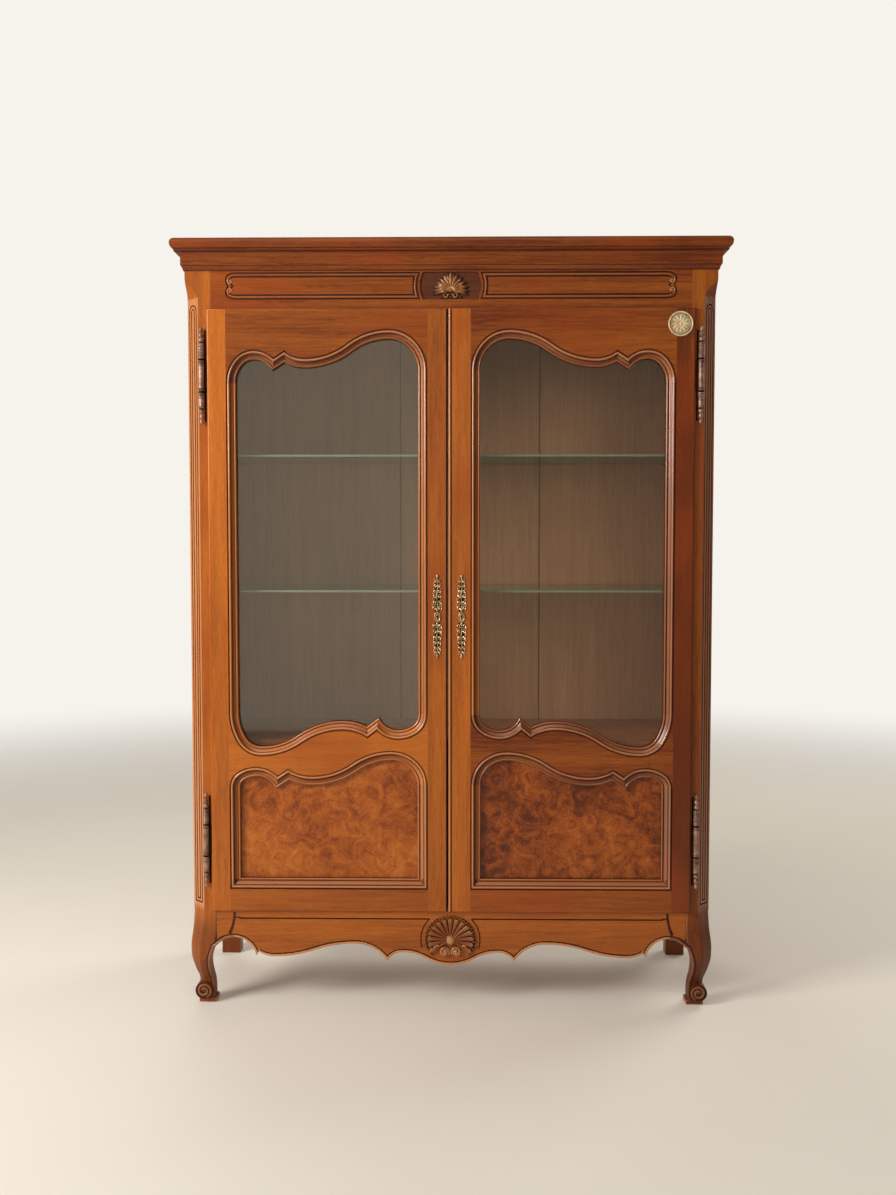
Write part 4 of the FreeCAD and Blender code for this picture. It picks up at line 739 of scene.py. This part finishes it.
palmette = {
    "hub": (0, postFace + 3.5, 1868), "bud": 4.6, "steps": 14,
    "leaves": [  # heading, length, half width, bend, depth: broad leaves behind, slim ones before them
        (2, 47, 3.8, -18, 3), (16, 48, 3.8, -22, 3.2), (30, 48, 3.8, -22, 3.4),
        (44, 47, 3.6, -18, 3.4), (58, 46, 3.4, -12, 3.4), (70, 46, 3.2, -6, 3.4),
        (81, 46, 3, -3, 3.4), (90, 45, 3.3, 0, 5.4), (73, 42, 3, -6, 5.2),
        (57, 39, 3, -12, 5), (40, 36, 2.9, -18, 4.8), (23, 32, 2.7, -22, 4.6),
        (7, 29, 2.5, -20, 4.4), (-14, 43, 3.2, 26, 3), (-29, 34, 3.2, 38, 3)]}


def leafRod(bm, angle, length, wide, bend, deep):
    # a leaf: narrow at the hub, full past the middle, its tip bent over
    path = []
    sizes = []
    place = Vector(palmette["hub"])
    for share in shares(palmette["steps"]):
        heading = math.radians(angle + bend * share * 1.6)
        if share:
            place = place + Vector((math.cos(heading), 0, math.sin(heading))) * (length / palmette["steps"])
        arch = deep * (0.5 + 0.9 * math.sin(math.pi * min(share * 1.05, 1)))
        path.append(place + towardsViewer * arch)
        full = math.sin(math.pi * min(1, 0.06 + 0.86 * share ** 1.5)) ** 0.6
        sizes.append((max(wide * full, 0.4), max(deep * 0.75 * full, 0.4)))
    sweptRod(bm, path, sizes, 10)


def leafPalmette():
    bm = bmesh.new()
    hub = Vector(palmette["hub"])
    for angle, length, wide, bend, deep in palmette["leaves"]:
        leafRod(bm, angle, length, wide, bend, deep)
        if angle != 90:
            leafRod(bm, 180 - angle, length, wide, -bend, deep)
    dome(bm, hub + Vector((0, -6, 0)), palmette["bud"], (1.2, 0.8, 1))
    for side in sides.values():  # small curls and beads under the bud
        centre = hub + Vector((side * 11, -3, -12))
        scroll(bm, centre, (7.5, 2), (80, -300), 24, (2.6, 3.2), (0.4, 0.6), side)
        dome(bm, hub + Vector((side * 4, -4, -9)), 2.8)
        dome(bm, hub + Vector((side * 24, -3, -16)), 3)
    dome(bm, hub + Vector((0, -3, -17)), 3, (0.8, 0.8, 1.5))
    return bm


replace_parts(carvedPiece(leafPalmette(), "friezePalmette", "carcass", "carved", 0.6,
                        marking=depthShadeAndHighlight(palmette["hub"][1], 7, (8.4, 12.6))), "frieze_shell")
print("shells carved")


# the bead of each frieze panel, rolled into two small scrolls at its outer end

friezeBead = {
    "high": 1909, "low": 1853, "outer": -580, "innerRadius": 91, "corner": 24,
    "eye": (13, 12, 2.6), "roll": (6.5, 1.8), "half": (2.6, 2.3), "sunk": 0.9}


def friezeBeads():
    # the upper half runs from the eye of its scroll to the middle of the arc beside the carving
    bm = bmesh.new()
    high, low = friezeBead["high"], friezeBead["low"]
    middle = (high + low) / 2
    depth = postFace + friezeBead["sunk"]
    inset, rise, size = friezeBead["eye"]
    eye = Vector((friezeBead["outer"] + inset, depth, middle + rise))
    path = curl(eye, friezeBead["roll"], (180, 500), 20)[::-1]
    wide = friezeBead["corner"]
    corner = (friezeBead["outer"] + friezeBead["roll"][0] + wide, depth, eye.z)
    path += arc(corner, (wide, high - eye.z), (180, 90), 10)[1:]
    reach = friezeBead["innerRadius"]
    turn = math.degrees(math.asin((high - low) / 2 / reach))
    path += arc((0, depth, middle), (-reach, reach), (turn, 0), 8)
    path += [Vector((spot.x, spot.y, 2 * middle - spot.z)) for spot in path[-2::-1]]
    sweptRod(bm, path, friezeBead["half"], 10)
    for height in (eye.z, 2 * middle - eye.z):
        dome(bm, Vector((eye.x, eye.y, height)), size)
    bmesh.ops.mirror(bm, geom=wholeOf(bm), axis="X", merge_dist=0)
    return bm


carvedPiece(friezeBeads(), "friezeBeads", "carcass", "cherryX", 0.2, 1,
            marking=depthShadeAndHighlight(postFace, 0.6, (1.1, 2.4)))


# pierced brass plates round the keyholes

pierced = {
    "places": {"left_door": -34, "right_door": 29}, "height": 1030, "stand": 1.4, "rod": 1.3,
    "ring": (7, 12), "ringHalf": (1.7, 1.8), "spine": (14, 7.4, 12), "spineHalf": (1.9, 1.7), "eye": 1.5,
    "scrolls": [  # height over the keyhole, radius, way that it rolls
        (23, 6.2, 1), (38, 5.6, -1), (53, 5.2, 1), (67, 4.6, -1), (80, 4, 1), (92, 3.2, -1)],
    "knobs": [(19, 3.4, (1, 0.6, 1.3)), (104, 2.6, (1, 0.7, 2.4)), (97, 3.2, (1, 0.6, 0.8))],
    "keyHole": (2.4, 0.7, (2.2, 0.7, 9))}


def plateMiddle(across, stand):
    return Vector((across, doorFront - stand, pierced["height"]))


def piercedScroll(bm, centre, radius, side, up, rolls):
    angles = (160, -270) if up * rolls > 0 else (-160, 270)
    width = pierced["rod"] * (0.55 + 0.45 * radius / 7)
    scroll(bm, centre, (radius, 1.2), angles, 26, (width, width * 1.15), (0.5, 0.7), side, segments=6)
    dome(bm, centre, pierced["eye"])
    leaf = centre + Vector((side * radius * 0.7, 0, up * radius * 0.8))
    tip = leaf + Vector((side * 2, -0.6, up * 5.5))
    sweptRod(bm, [leaf.lerp(tip, share) for share in shares(5)], tapered(5, (1.5, 1.2), (0.5, 0.15)), 6)


def piercedPlate(across):
    bm = bmesh.new()
    middle = plateMiddle(across, pierced["stand"])
    sweptRod(bm, arc(middle, pierced["ring"], (0, 360), 32), pierced["ringHalf"])
    dome(bm, middle, 6.4, (1, 0.18, 1.7))
    start, run, steps = pierced["spine"]
    for up in (-1, 1):
        spine = [middle + Vector((1.1 * math.sin(step * 0.9), 0, up * (start + step * run)))
                 for step in range(steps + 1)]
        sweptRod(bm, spine, tapered(steps, pierced["spineHalf"], (0.8, 0.35)))
        for rise, radius, rolls in pierced["scrolls"]:
            for side in sides.values():
                centre = middle + Vector((side * (radius * 0.92 + 1), 0, up * rise))
                piercedScroll(bm, centre, radius, side, up, rolls)
        for rise, radius, size in pierced["knobs"]:
            dome(bm, middle + Vector((0, 0, up * rise)), radius, size)
    return bm


def plateShadowGround(across):
    # the dark ground that shows through the piercings: a dark backing of painted shade, partly the patina
    # behind them
    bm = bmesh.new()
    for up in (-1, 1):
        for rise, radius, rolls in pierced["scrolls"]:
            middle = plateMiddle(across, 0.3) + Vector((0, 0, up * rise))
            drum(bm, middle, 1, 1, 20, (radius * 1.7, 0.6, 9))
    return bm


def keyHoleShadow(across):
    # the dark opening for the key
    bm = bmesh.new()
    middle = plateMiddle(across, 3)
    radius, depth, slit = pierced["keyHole"]
    drum(bm, middle + Vector((0, 0, 2)), radius, depth, 20)
    block(bm, middle + Vector((0, 0, -2.5)), slit)
    return bm


for door, across in pierced["places"].items():
    plate = carvedPiece(piercedPlate(across), door + "PiercedPlate", door, "brass",
                        marking=depthShadeAndHighlight(doorFront, 1.9, (2.2, 3.2)))
    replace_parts(plate, door + "_escutcheon")
    carvedPiece(plateShadowGround(across), door + "PlateShadowGround", door, "patina")
    carvedPiece(keyHoleShadow(across), door + "KeyHole", door, "iron")
print("pierced plates made")


# turned ends, ring beads and barrels of the hinges

hinge = {
    "axis": (641.5, -215.5), "heights": (1651, 442), "sleeve": (43.3, 78.3), "bore": 6, "barrel": 7.15,
    "barrelEnd": 39.7, "bead": 1.1, "barrelBead": 0.8, "upperBeads": 9, "lowerBeads": 4, "lowerFilled": 0.45,
    "gap": (632.8, 4.6, 38), "finial": (6.6, 46)}
finialOutline = [  # shares of the finial's radius and length
    (0.98, 0), (1.16, 0.02), (1.16, 0.07), (0.8, 0.1), (0.62, 0.15), (0.86, 0.2), (0.97, 0.27),
    (0.86, 0.34), (0.56, 0.39), (0.52, 0.43), (0.76, 0.49), (0.84, 0.56), (0.76, 0.63), (0.46, 0.68),
    (0.44, 0.72), (0.62, 0.78), (0.7, 0.86), (0.6, 0.93), (0.36, 0.98), (0, 1)]


def hingeCentres(side, across=hinge["axis"][0], depth=hinge["axis"][1]):
    return [Vector((side * across, depth, height)) for height in hinge["heights"]]


def beadedSleeve(beads, filled):
    # outline of a sleeve whose first part, filled, carries ring beads
    low, high = hinge["sleeve"]
    barrel = hinge["barrel"]
    profile = [(hinge["bore"], low), (barrel, low)]
    run = (high - low) * filled / beads
    for bead in range(beads):
        for share in shares(6)[1:-1]:
            swell = hinge["bead"] * math.sin(math.pi * share) ** 0.7
            profile.append((barrel + swell, low + run * (bead + share)))
        profile.append((barrel, low + run * (bead + 1)))
    return profile + [(barrel, high), (hinge["bore"], high)]


def hingeTurnings():
    bm = bmesh.new()
    radius, length = hinge["finial"]
    end = hinge["sleeve"][1]
    outlines = [beadedSleeve(hinge["upperBeads"], 1)]
    outlines.append([(out, -along) for out, along in beadedSleeve(hinge["lowerBeads"], hinge["lowerFilled"])])
    for up in (-1, 1):
        outlines.append([(radius * out, up * (end + length * along)) for out, along in finialOutline])
    for side in sides.values():
        for centre in hingeCentres(side):
            for outline in outlines:
                turned(bm, centre, outline)
    return bm


def hingeBarrels(side):
    # the smooth part of each barrel, with ring beads at either end
    bm = bmesh.new()
    barrel, end = hinge["barrel"], hinge["barrelEnd"]
    half = [(barrel + hinge["barrelBead"] * math.sin(math.pi * step / 3) ** 2, end - 10 + step)
            for step in range(10)] + [(barrel - 1, end)]
    outline = [(radius, -along) for radius, along in half[::-1]] + half
    for centre in hingeCentres(side):
        turned(bm, centre, outline)
    return bm


def hingeGapShadows():
    # the dark strip between barrel and door: painted shadow in the gap
    bm = bmesh.new()
    across, wide, over = hinge["gap"]
    for side in sides.values():
        for middle in hingeCentres(side, across, postFace - 0.2):
            block(bm, middle, (wide, 0.6, 2 * (hinge["sleeve"][1] + over)))
    return bm


for door, side in sides.items():
    carvedPiece(hingeBarrels(side), door + "HingeBarrels", door + "_door", "bronze", 0.5, 1.5)
carvedPiece(hingeGapShadows(), "hingeGapShadows", "carcass", "patina", 0.5, 0)
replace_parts(carvedPiece(hingeTurnings(), "hingeTurnings", "carcass", "bronze", 0.5, 3, 60),
            "hinge_pins")
print("hinges turned")


# the plain round plate at the corner of the right door

roundPlate = {
    "centre": Vector((588, doorFront, 1781)), "radius": 32, "petals": 12, "petalHalf": (3.4, 1.3),
    "outline": [(1, 0), (1, 1.4), (0.985, 2.1), (0.955, 2.5), (0.925, 2.5), (0.895, 2.1), (0.88, 1.5),
                (0.86, 1.35), (0.78, 1.4), (0.77, 1.75), (0.745, 1.75), (0.735, 1.45), (0.4, 1.7), (0, 1.8)]}


def cornerPlate():
    bm = bmesh.new()
    radius = roundPlate["radius"]
    profile = [(out * radius, along) for out, along in roundPlate["outline"]]
    turned(bm, roundPlate["centre"], profile, towardsViewer, 64)
    middle = roundPlate["centre"] + towardsViewer * 1.6
    for out in arc((0, 0, 0), (radius, radius), (0, 360), roundPlate["petals"])[:-1]:  # a plain rosette
        path = [middle + out * (0.14 + 0.54 * share) for share in shares(10)]
        sweptRod(bm, path, tapered(10, roundPlate["petalHalf"], (0.15, 0.25)))
    dome(bm, middle, 4, (1, 0.5, 1))
    return bm


def plateTones(centre, point):
    # dark ground inside the rim, bright rosette
    away = point - roundPlate["centre"]
    inside = math.hypot(away.x, away.z) < 0.9 * roundPlate["radius"]
    return 0.4 if inside and -away.y < 1.72 else -0.2


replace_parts(carvedPiece(cornerPlate(), "cornerPlate", "right_door", "plate", 0.5, 4,
                        marking=plateTones), "door_badge")


# front legs with scroll feet

leg = {
    "top": 250, "fade": 16, "halfWidth": 684, "postWidth": 66, "postDepth": 60,
    "sections": [  # height, swell, width as a share of the post's, cut corner
        (250, 0, 1, 34), (205, 2, 1, 32), (165, 6.5, 0.94, 30), (142, 7, 0.82, 29),
        (118, 4.5, 0.73, 26), (90, -4, 0.75, 20), (62, -14, 0.83, 15), (40, -12, 0.86, 13),
        (12, -9, 0.86, 13)],
    "between": 4, "edgeRound": 5, "scrollRadius": 23, "scrollInset": 30, "scrollFront": 4,
    "scrollLength": 38, "pad": (15, 46, 12), "padRound": 2, "coil": (19, 5), "coilHalf": (3.6, 3.4),
    "eye": 4.6, "sideShrink": 0.66, "sideInset": 9}


def eased(values, place):
    # a smooth value between the listed ones
    low = min(int(place), len(values) - 2)
    share = place - low
    before = values[max(low - 1, 0)]
    after = values[min(low + 2, len(values) - 1)]
    first, second = values[low], values[low + 1]
    bend = 2 * before - 5 * first + 4 * second - after
    twist = 3 * first - before - 3 * second + after
    return 0.5 * (2 * first + (second - before) * share + bend * share ** 2 + twist * share ** 3)


def legRing(place):
    height, swell, inner, corner = (eased(column, place) for column in zip(*leg["sections"]))
    outX = -leg["halfWidth"] - swell
    outY = postFace - swell
    inX = -leg["halfWidth"] + leg["postWidth"] * min(inner, 1)
    inY = postFace + leg["postDepth"] * inner
    return [Vector((x, y, height)) for x, y in ((outX + corner, outY), (inX, outY), (inX, inY), (outX, inY),
                                                (outX, outY + corner))]


def legStem(bm):
    ring = [bm.verts.new(point) for point in legRing(0)]
    edges = list(bm.faces.new(ring).edges)
    for step in range(1, (len(leg["sections"]) - 1) * leg["between"] + 1):
        fresh, edges = grownRing(bm, edges)
        ring = [min(fresh, key=lambda twin: (twin.co - vert.co).length_squared) for vert in ring]
        for vert, point in zip(ring, legRing(step / leg["between"])):
            vert.co = point
    bmesh.ops.contextual_create(bm, geom=edges)
    bmesh.ops.recalc_face_normals(bm, faces=bm.faces)
    arrises = [edge for edge in bm.edges if abs(edge.verts[0].co.z - edge.verts[1].co.z) > 1
               and edge.calc_face_angle(0) > 0.5]
    bmesh.ops.bevel(bm, geom=arrises, offset=leg["edgeRound"], affect="EDGES", segments=3, profile=0.5,
                    material=-1, clamp_overlap=True)


def scrollFoot(bm):
    corner = Vector((-leg["halfWidth"], postFace, 0))
    height = leg["pad"][2] + leg["scrollRadius"]
    front = corner + Vector((leg["scrollInset"], leg["scrollFront"], height))
    for sideways in (False, True):
        before = set(bm.verts)
        middle = front + Vector((0, leg["scrollLength"] / 2, 0))
        drum(bm, middle, leg["scrollRadius"], leg["scrollLength"], 36)
        scroll(bm, front, leg["coil"], (-70, 520), 56, leg["coilHalf"], (0.8, 0.7), lift=(-0.5, 3.5))
        dome(bm, front, leg["eye"])
        if sideways:  # the same scroll on the outer face
            fresh = [vert for vert in bm.verts if vert not in before]
            flip = Matrix(((0, 1, 0), (1, 0, 0), (0, 0, 1))).to_4x4()
            eye = corner + Vector((leg["scrollFront"], leg["scrollInset"], height))
            inward = placed(eye + Vector((leg["sideInset"], 0, 0)), (1, leg["sideShrink"], leg["sideShrink"]))
            turn = Matrix.Translation(corner - eye) @ flip @ Matrix.Translation(-corner)
            bmesh.ops.transform(bm, matrix=inward @ turn, verts=fresh)
    inset, wide, tall = leg["pad"]
    pad = block(bm, corner + Vector((inset + wide / 2, inset + wide / 2, tall / 2)), (wide, wide, tall))
    bmesh.ops.bevel(bm, geom=edgesOf(pad), offset=leg["padRound"], affect="EDGES", segments=2, profile=0.5,
                    material=-1)


def scrollShade(centre, point):
    # painted shade on the ground inside the coils, less darkening on the coils and pad, and a stem that
    # darkens downwards
    across = leg["halfWidth"] - abs(centre.x)
    back = centre.y - postFace
    rise = centre.z - leg["pad"][2]
    for onFace, beside in ((back, across), (across - leg["sideInset"], back)):
        away = math.hypot(beside - leg["scrollInset"], rise - leg["scrollRadius"])
        proud = leg["scrollFront"] - onFace
        if away < 22.5 and abs(proud) < 0.6:
            return 1
        if away < 24 and proud > 0.5:
            return 0.3
    if rise < 0:
        return 0.08
    drop = clamped((leg["top"] - centre.z) / 55)
    return drop * (0.42 - 0.17 * min(1, rise / 120))


apronArch = {
    "middle": (-575, 123.8), "radius": 56.2, "angles": (139.9, 90), "ear": ((-569, 248), (-583, 186)),
    "line": 234, "lineEnds": (-570.5, -563, -555), "bead": (3.2, 3.2), "lineHalf": (2, 0.7),
    "earHalf": (3, 0.7), "endHalf": (2.2, 0.6), "foot": 7.5}


def alongLeg(inset, back, top):
    # up the inner edge of the leg, then over the arch of the apron
    path = [legRing(between((apronArch["foot"], top), share))[1] + Vector((-inset, back, 0))
            for share in shares(40)]
    leave = path[-1].y
    across, height = apronArch["middle"]
    reach = apronArch["radius"] + inset
    arch = arc((across, leave, height), (reach, reach), apronArch["angles"], 16)
    for spot, share in zip(arch, shares(16)):
        spot.y = between((leave, postFace + back), min(1, share * 1.6))
    return path + arch[1:]


def legShadowLine():
    # painted shadow lines: a dark strip beside the leg's bead, and one where the leg parts from the apron
    bm = bmesh.new()
    sweptRod(bm, alongLeg(8.2, 0.2, 2.1), apronArch["lineHalf"])
    across, heights = zip(*apronArch["ear"])
    ear = [Vector((between(across, share ** 1.8), postFace + 0.2, between(heights, share)))
           for share in shares(12)]
    sweptRod(bm, ear, apronArch["earHalf"])
    ends = [Vector((place, postFace + 0.1, apronArch["line"])) for place in apronArch["lineEnds"]]
    sweptRod(bm, ends, apronArch["endHalf"])
    return bm


def paleChamfer(bm, amount):
    # the reeds of a chamfer are drawn pale with wear and painted highlight, their grooves stay dark, and its
    # foot fades into the leg
    hollow, worn = markLayers(bm)
    for face in bm.faces:
        if abs(face.normal.x) > 0.3 and face.normal.y < -0.3 and abs(face.normal.z) < 0.05:
            for loop in face.loops:
                fade = min(1, (loop.vert.co.z / mm - leg["top"]) / leg["fade"])
                loop[worn] = max(loop[worn], amount * fade * (1 - min(1, 1.5 * loop[hollow])))


def dressFrontPost(side, board, chamferPaleShare):
    node = "front_post_" + side
    bm = mergedCopy(node)
    # the carved leg takes over at its top, and above it lies the stretch that the chamfer fades over
    for height, below in ((leg["top"], True), (leg["top"] + leg["fade"], False)):
        cut = bmesh.ops.bisect_plane(bm, geom=wholeOf(bm), dist=0.000001, plane_co=(0, 0, height * mm),
                                     plane_no=(0, 0, 1), clear_inner=below)["geom_cut"]
        if below:
            rim = [part for part in cut if isinstance(part, bmesh.types.BMEdge)]
            bmesh.ops.contextual_create(bm, geom=rim)
    markEdges(bm, grooveWidth, 0.5)
    paleChamfer(bm, chamferPaleShare)
    shaft = meshPiece(bm, "frontPost." + side, "carcass", "cherryZ", board)
    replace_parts(shaft, node)
    limb = bmesh.new()
    legStem(limb)
    scrollFoot(limb)
    sweptRod(limb, alongLeg(2.4, 0.6, 2.2), apronArch["bead"], 10)
    line = legShadowLine()
    if side == "right":
        for made in (limb, line):
            bmesh.ops.scale(made, vec=(-1, 1, 1), verts=made.verts)
    carvedPiece(limb, "frontLeg." + side, "carcass", "cherryZ", board, 6, 40, scrollShade)
    # these lines are dark all over: painted shadow
    carvedPiece(line, "legShadowLine." + side, "carcass", "cherryZ", board,
                marking=lambda centre, point: 1)


# the right post and leg are darker and their chamfer less pale than the left's: partly the wood's own tone,
# partly painted shade on the side away from the light
dressFrontPost("left", 0.54, 0.5)
dressFrontPost("right", 0.13, 0.2)
print("front posts and legs made")


# fittings whose node is right as it is

fittings = {
    "glass": ("left_door_glass", "right_door_glass"), "brass": ("shelf_pins",),
    "patina": ("hinge_post_leaves_left", "hinge_post_leaves_right", "left_door_hinge_leaves",
               "right_door_hinge_leaves"),
    "steel": ("strike_box", "sliding_bolt_plates", "lock_case", "lock_bolt", "top_bolt", "bottom_bolt")}
for finish, fitted in fittings.items():
    for node in fitted:
        nodes[node].data.materials.clear()
        nodes[node].data.materials.append(finishes[finish])
print("fittings finished:", sum(len(fitted) for fitted in fittings.values()))


# glass shelves: clear faces, green edges

def glassShelf(node):
    bm = mergedCopy(node)
    bmesh.ops.dissolve_limit(bm, angle_limit=0.01, verts=bm.verts, edges=bm.edges)
    arrises = [edge for edge in bm.edges if edge.calc_face_angle(0) > 1]
    bmesh.ops.bevel(bm, geom=arrises, offset=0.0007, affect="EDGES", segments=2, profile=0.5, material=-1)
    onEdge = [abs(face.normal.z) < 0.9 for face in bm.faces]
    piece = meshPiece(bm, "sheet." + node, "carcass", "shelfGlass")
    piece.data.materials.append(finishes["shelfEdge"])
    for face, edged in zip(piece.data.polygons, onEdge):
        face.material_index = int(edged)
    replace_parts(piece, node)


for node in ("glass_shelf_upper", "glass_shelf_lower"):
    glassShelf(node)
print("glass shelves made")


# stage, light and camera

studio = {
    "floorRadius": 9, "fade": (2.4, 6), "floorGlow": 0.1, "floor": ((238, 230, 216), (232, 223, 208)),
    "backdrop": (246, 243, 236), "sky": (255, 252, 246), "ambient": 0.15, "mirrored": 0.13, "seen": 0.85}


def seenRays(wire):
    # 1 for rays that show the stage itself, straight or through glass
    return (wire.ray("Camera") + wire.ray("Transmission")).limited()


def paleFloor(wire):
    place = wire.place()
    distance = wire.vector("LENGTH", {0: place}, "Value")
    colour = place.noise(1.5, 3).blended(*studio["floor"])
    glow = ((seenRays(wire) + wire.ray("Glossy")).limited() * studio["floorGlow"]).blended((0, 0, 0), colour)
    return wire.principled(Base_Color=colour, Roughness=0.6, Emission_Color=glow, Emission_Strength=1,
                           Alpha=1 - distance.ramped(*studio["fade"]))


def makeFloor():
    bm = bmesh.new()
    bmesh.ops.create_circle(bm, cap_ends=True, segments=96, radius=studio["floorRadius"])
    mesh = bpy.data.meshes.new("studioFloor")
    bm.to_mesh(mesh)
    bm.free()
    mesh.materials.append(newMaterial("paleFloor", paleFloor))
    floor = addObject("studioFloor", mesh)


def studioSky(wire):
    seen = seenRays(wire)
    colour = seen.blended(studio["sky"], studio["backdrop"])
    mirrored = (1 - seen) * wire.ray("Glossy") * studio["mirrored"]
    strength = seen * studio["seen"] + mirrored + studio["ambient"]
    return wire.make("ShaderNodeBackground", None, {"Color": colour, "Strength": strength})


lamps = {  # place, aim, size, power, colour
    "windowSide": ((-3.2, -2.2, 2.3), (0, 0, 1), (1.5, 1.5), 140, (1, 0.985, 0.96)),
    "farSide": ((2.9, 2.2, 3), (0.4, 0, 1), (2, 2), 60, (1, 0.96, 0.9)),
    "behind": ((-1.4, 3.2, 3.6), (0, 0.2, 1), (2.5, 2), 34, (1, 0.98, 0.95)),
    "above": ((-0.4, -1.9, 4), (0, 0, 1.2), (2, 2), 18, (1, 1, 1)),
    "front": ((0.4, -4.2, 1.5), (0, 0, 1), (1.4, 1.4), 12, (1, 0.98, 0.95)),
    "paleWall": ((-0.9, -5, 1.3), (-0.9, 0, 1.3), (1.3, 2.7), 6, (1, 0.99, 0.94))}


def makeLamps():
    for name, (place, aim, size, power, colour) in lamps.items():
        light = bpy.data.lights.new(name, "AREA")
        light.energy = power
        light.shape = "RECTANGLE"
        light.size, light.size_y = size
        light.color = colour
        thing = addObject(name, light)
        thing.location = place
        thing.rotation_euler = (Vector(aim) - Vector(place)).to_track_quat("-Z", "Y").to_euler()
        thing.visible_glossy = name != "front"  # this lamp would show in the doors' glass


view = {"place": (0.0451, -3.418, 1.253), "down": 3.08, "turn": 0.92, "lens": 37.3, "sensor": 36}


def makeCamera():
    camera = bpy.data.cameras.new("photoView")
    camera.sensor_fit = "VERTICAL"
    camera.sensor_height = view["sensor"]
    camera.lens = view["lens"]
    thing = addObject("photoView", camera)
    thing.location = view["place"]
    thing.rotation_euler = (math.radians(90 - view["down"]), 0, math.radians(view["turn"]))
    bpy.context.scene.camera = thing


makeFloor()
bpy.context.scene.world = wired(bpy.data.worlds.new("studioWorld"), studioSky)
makeLamps()
makeCamera()
bpy.context.scene.view_settings.view_transform = "Standard"
print("stage, light and camera set")
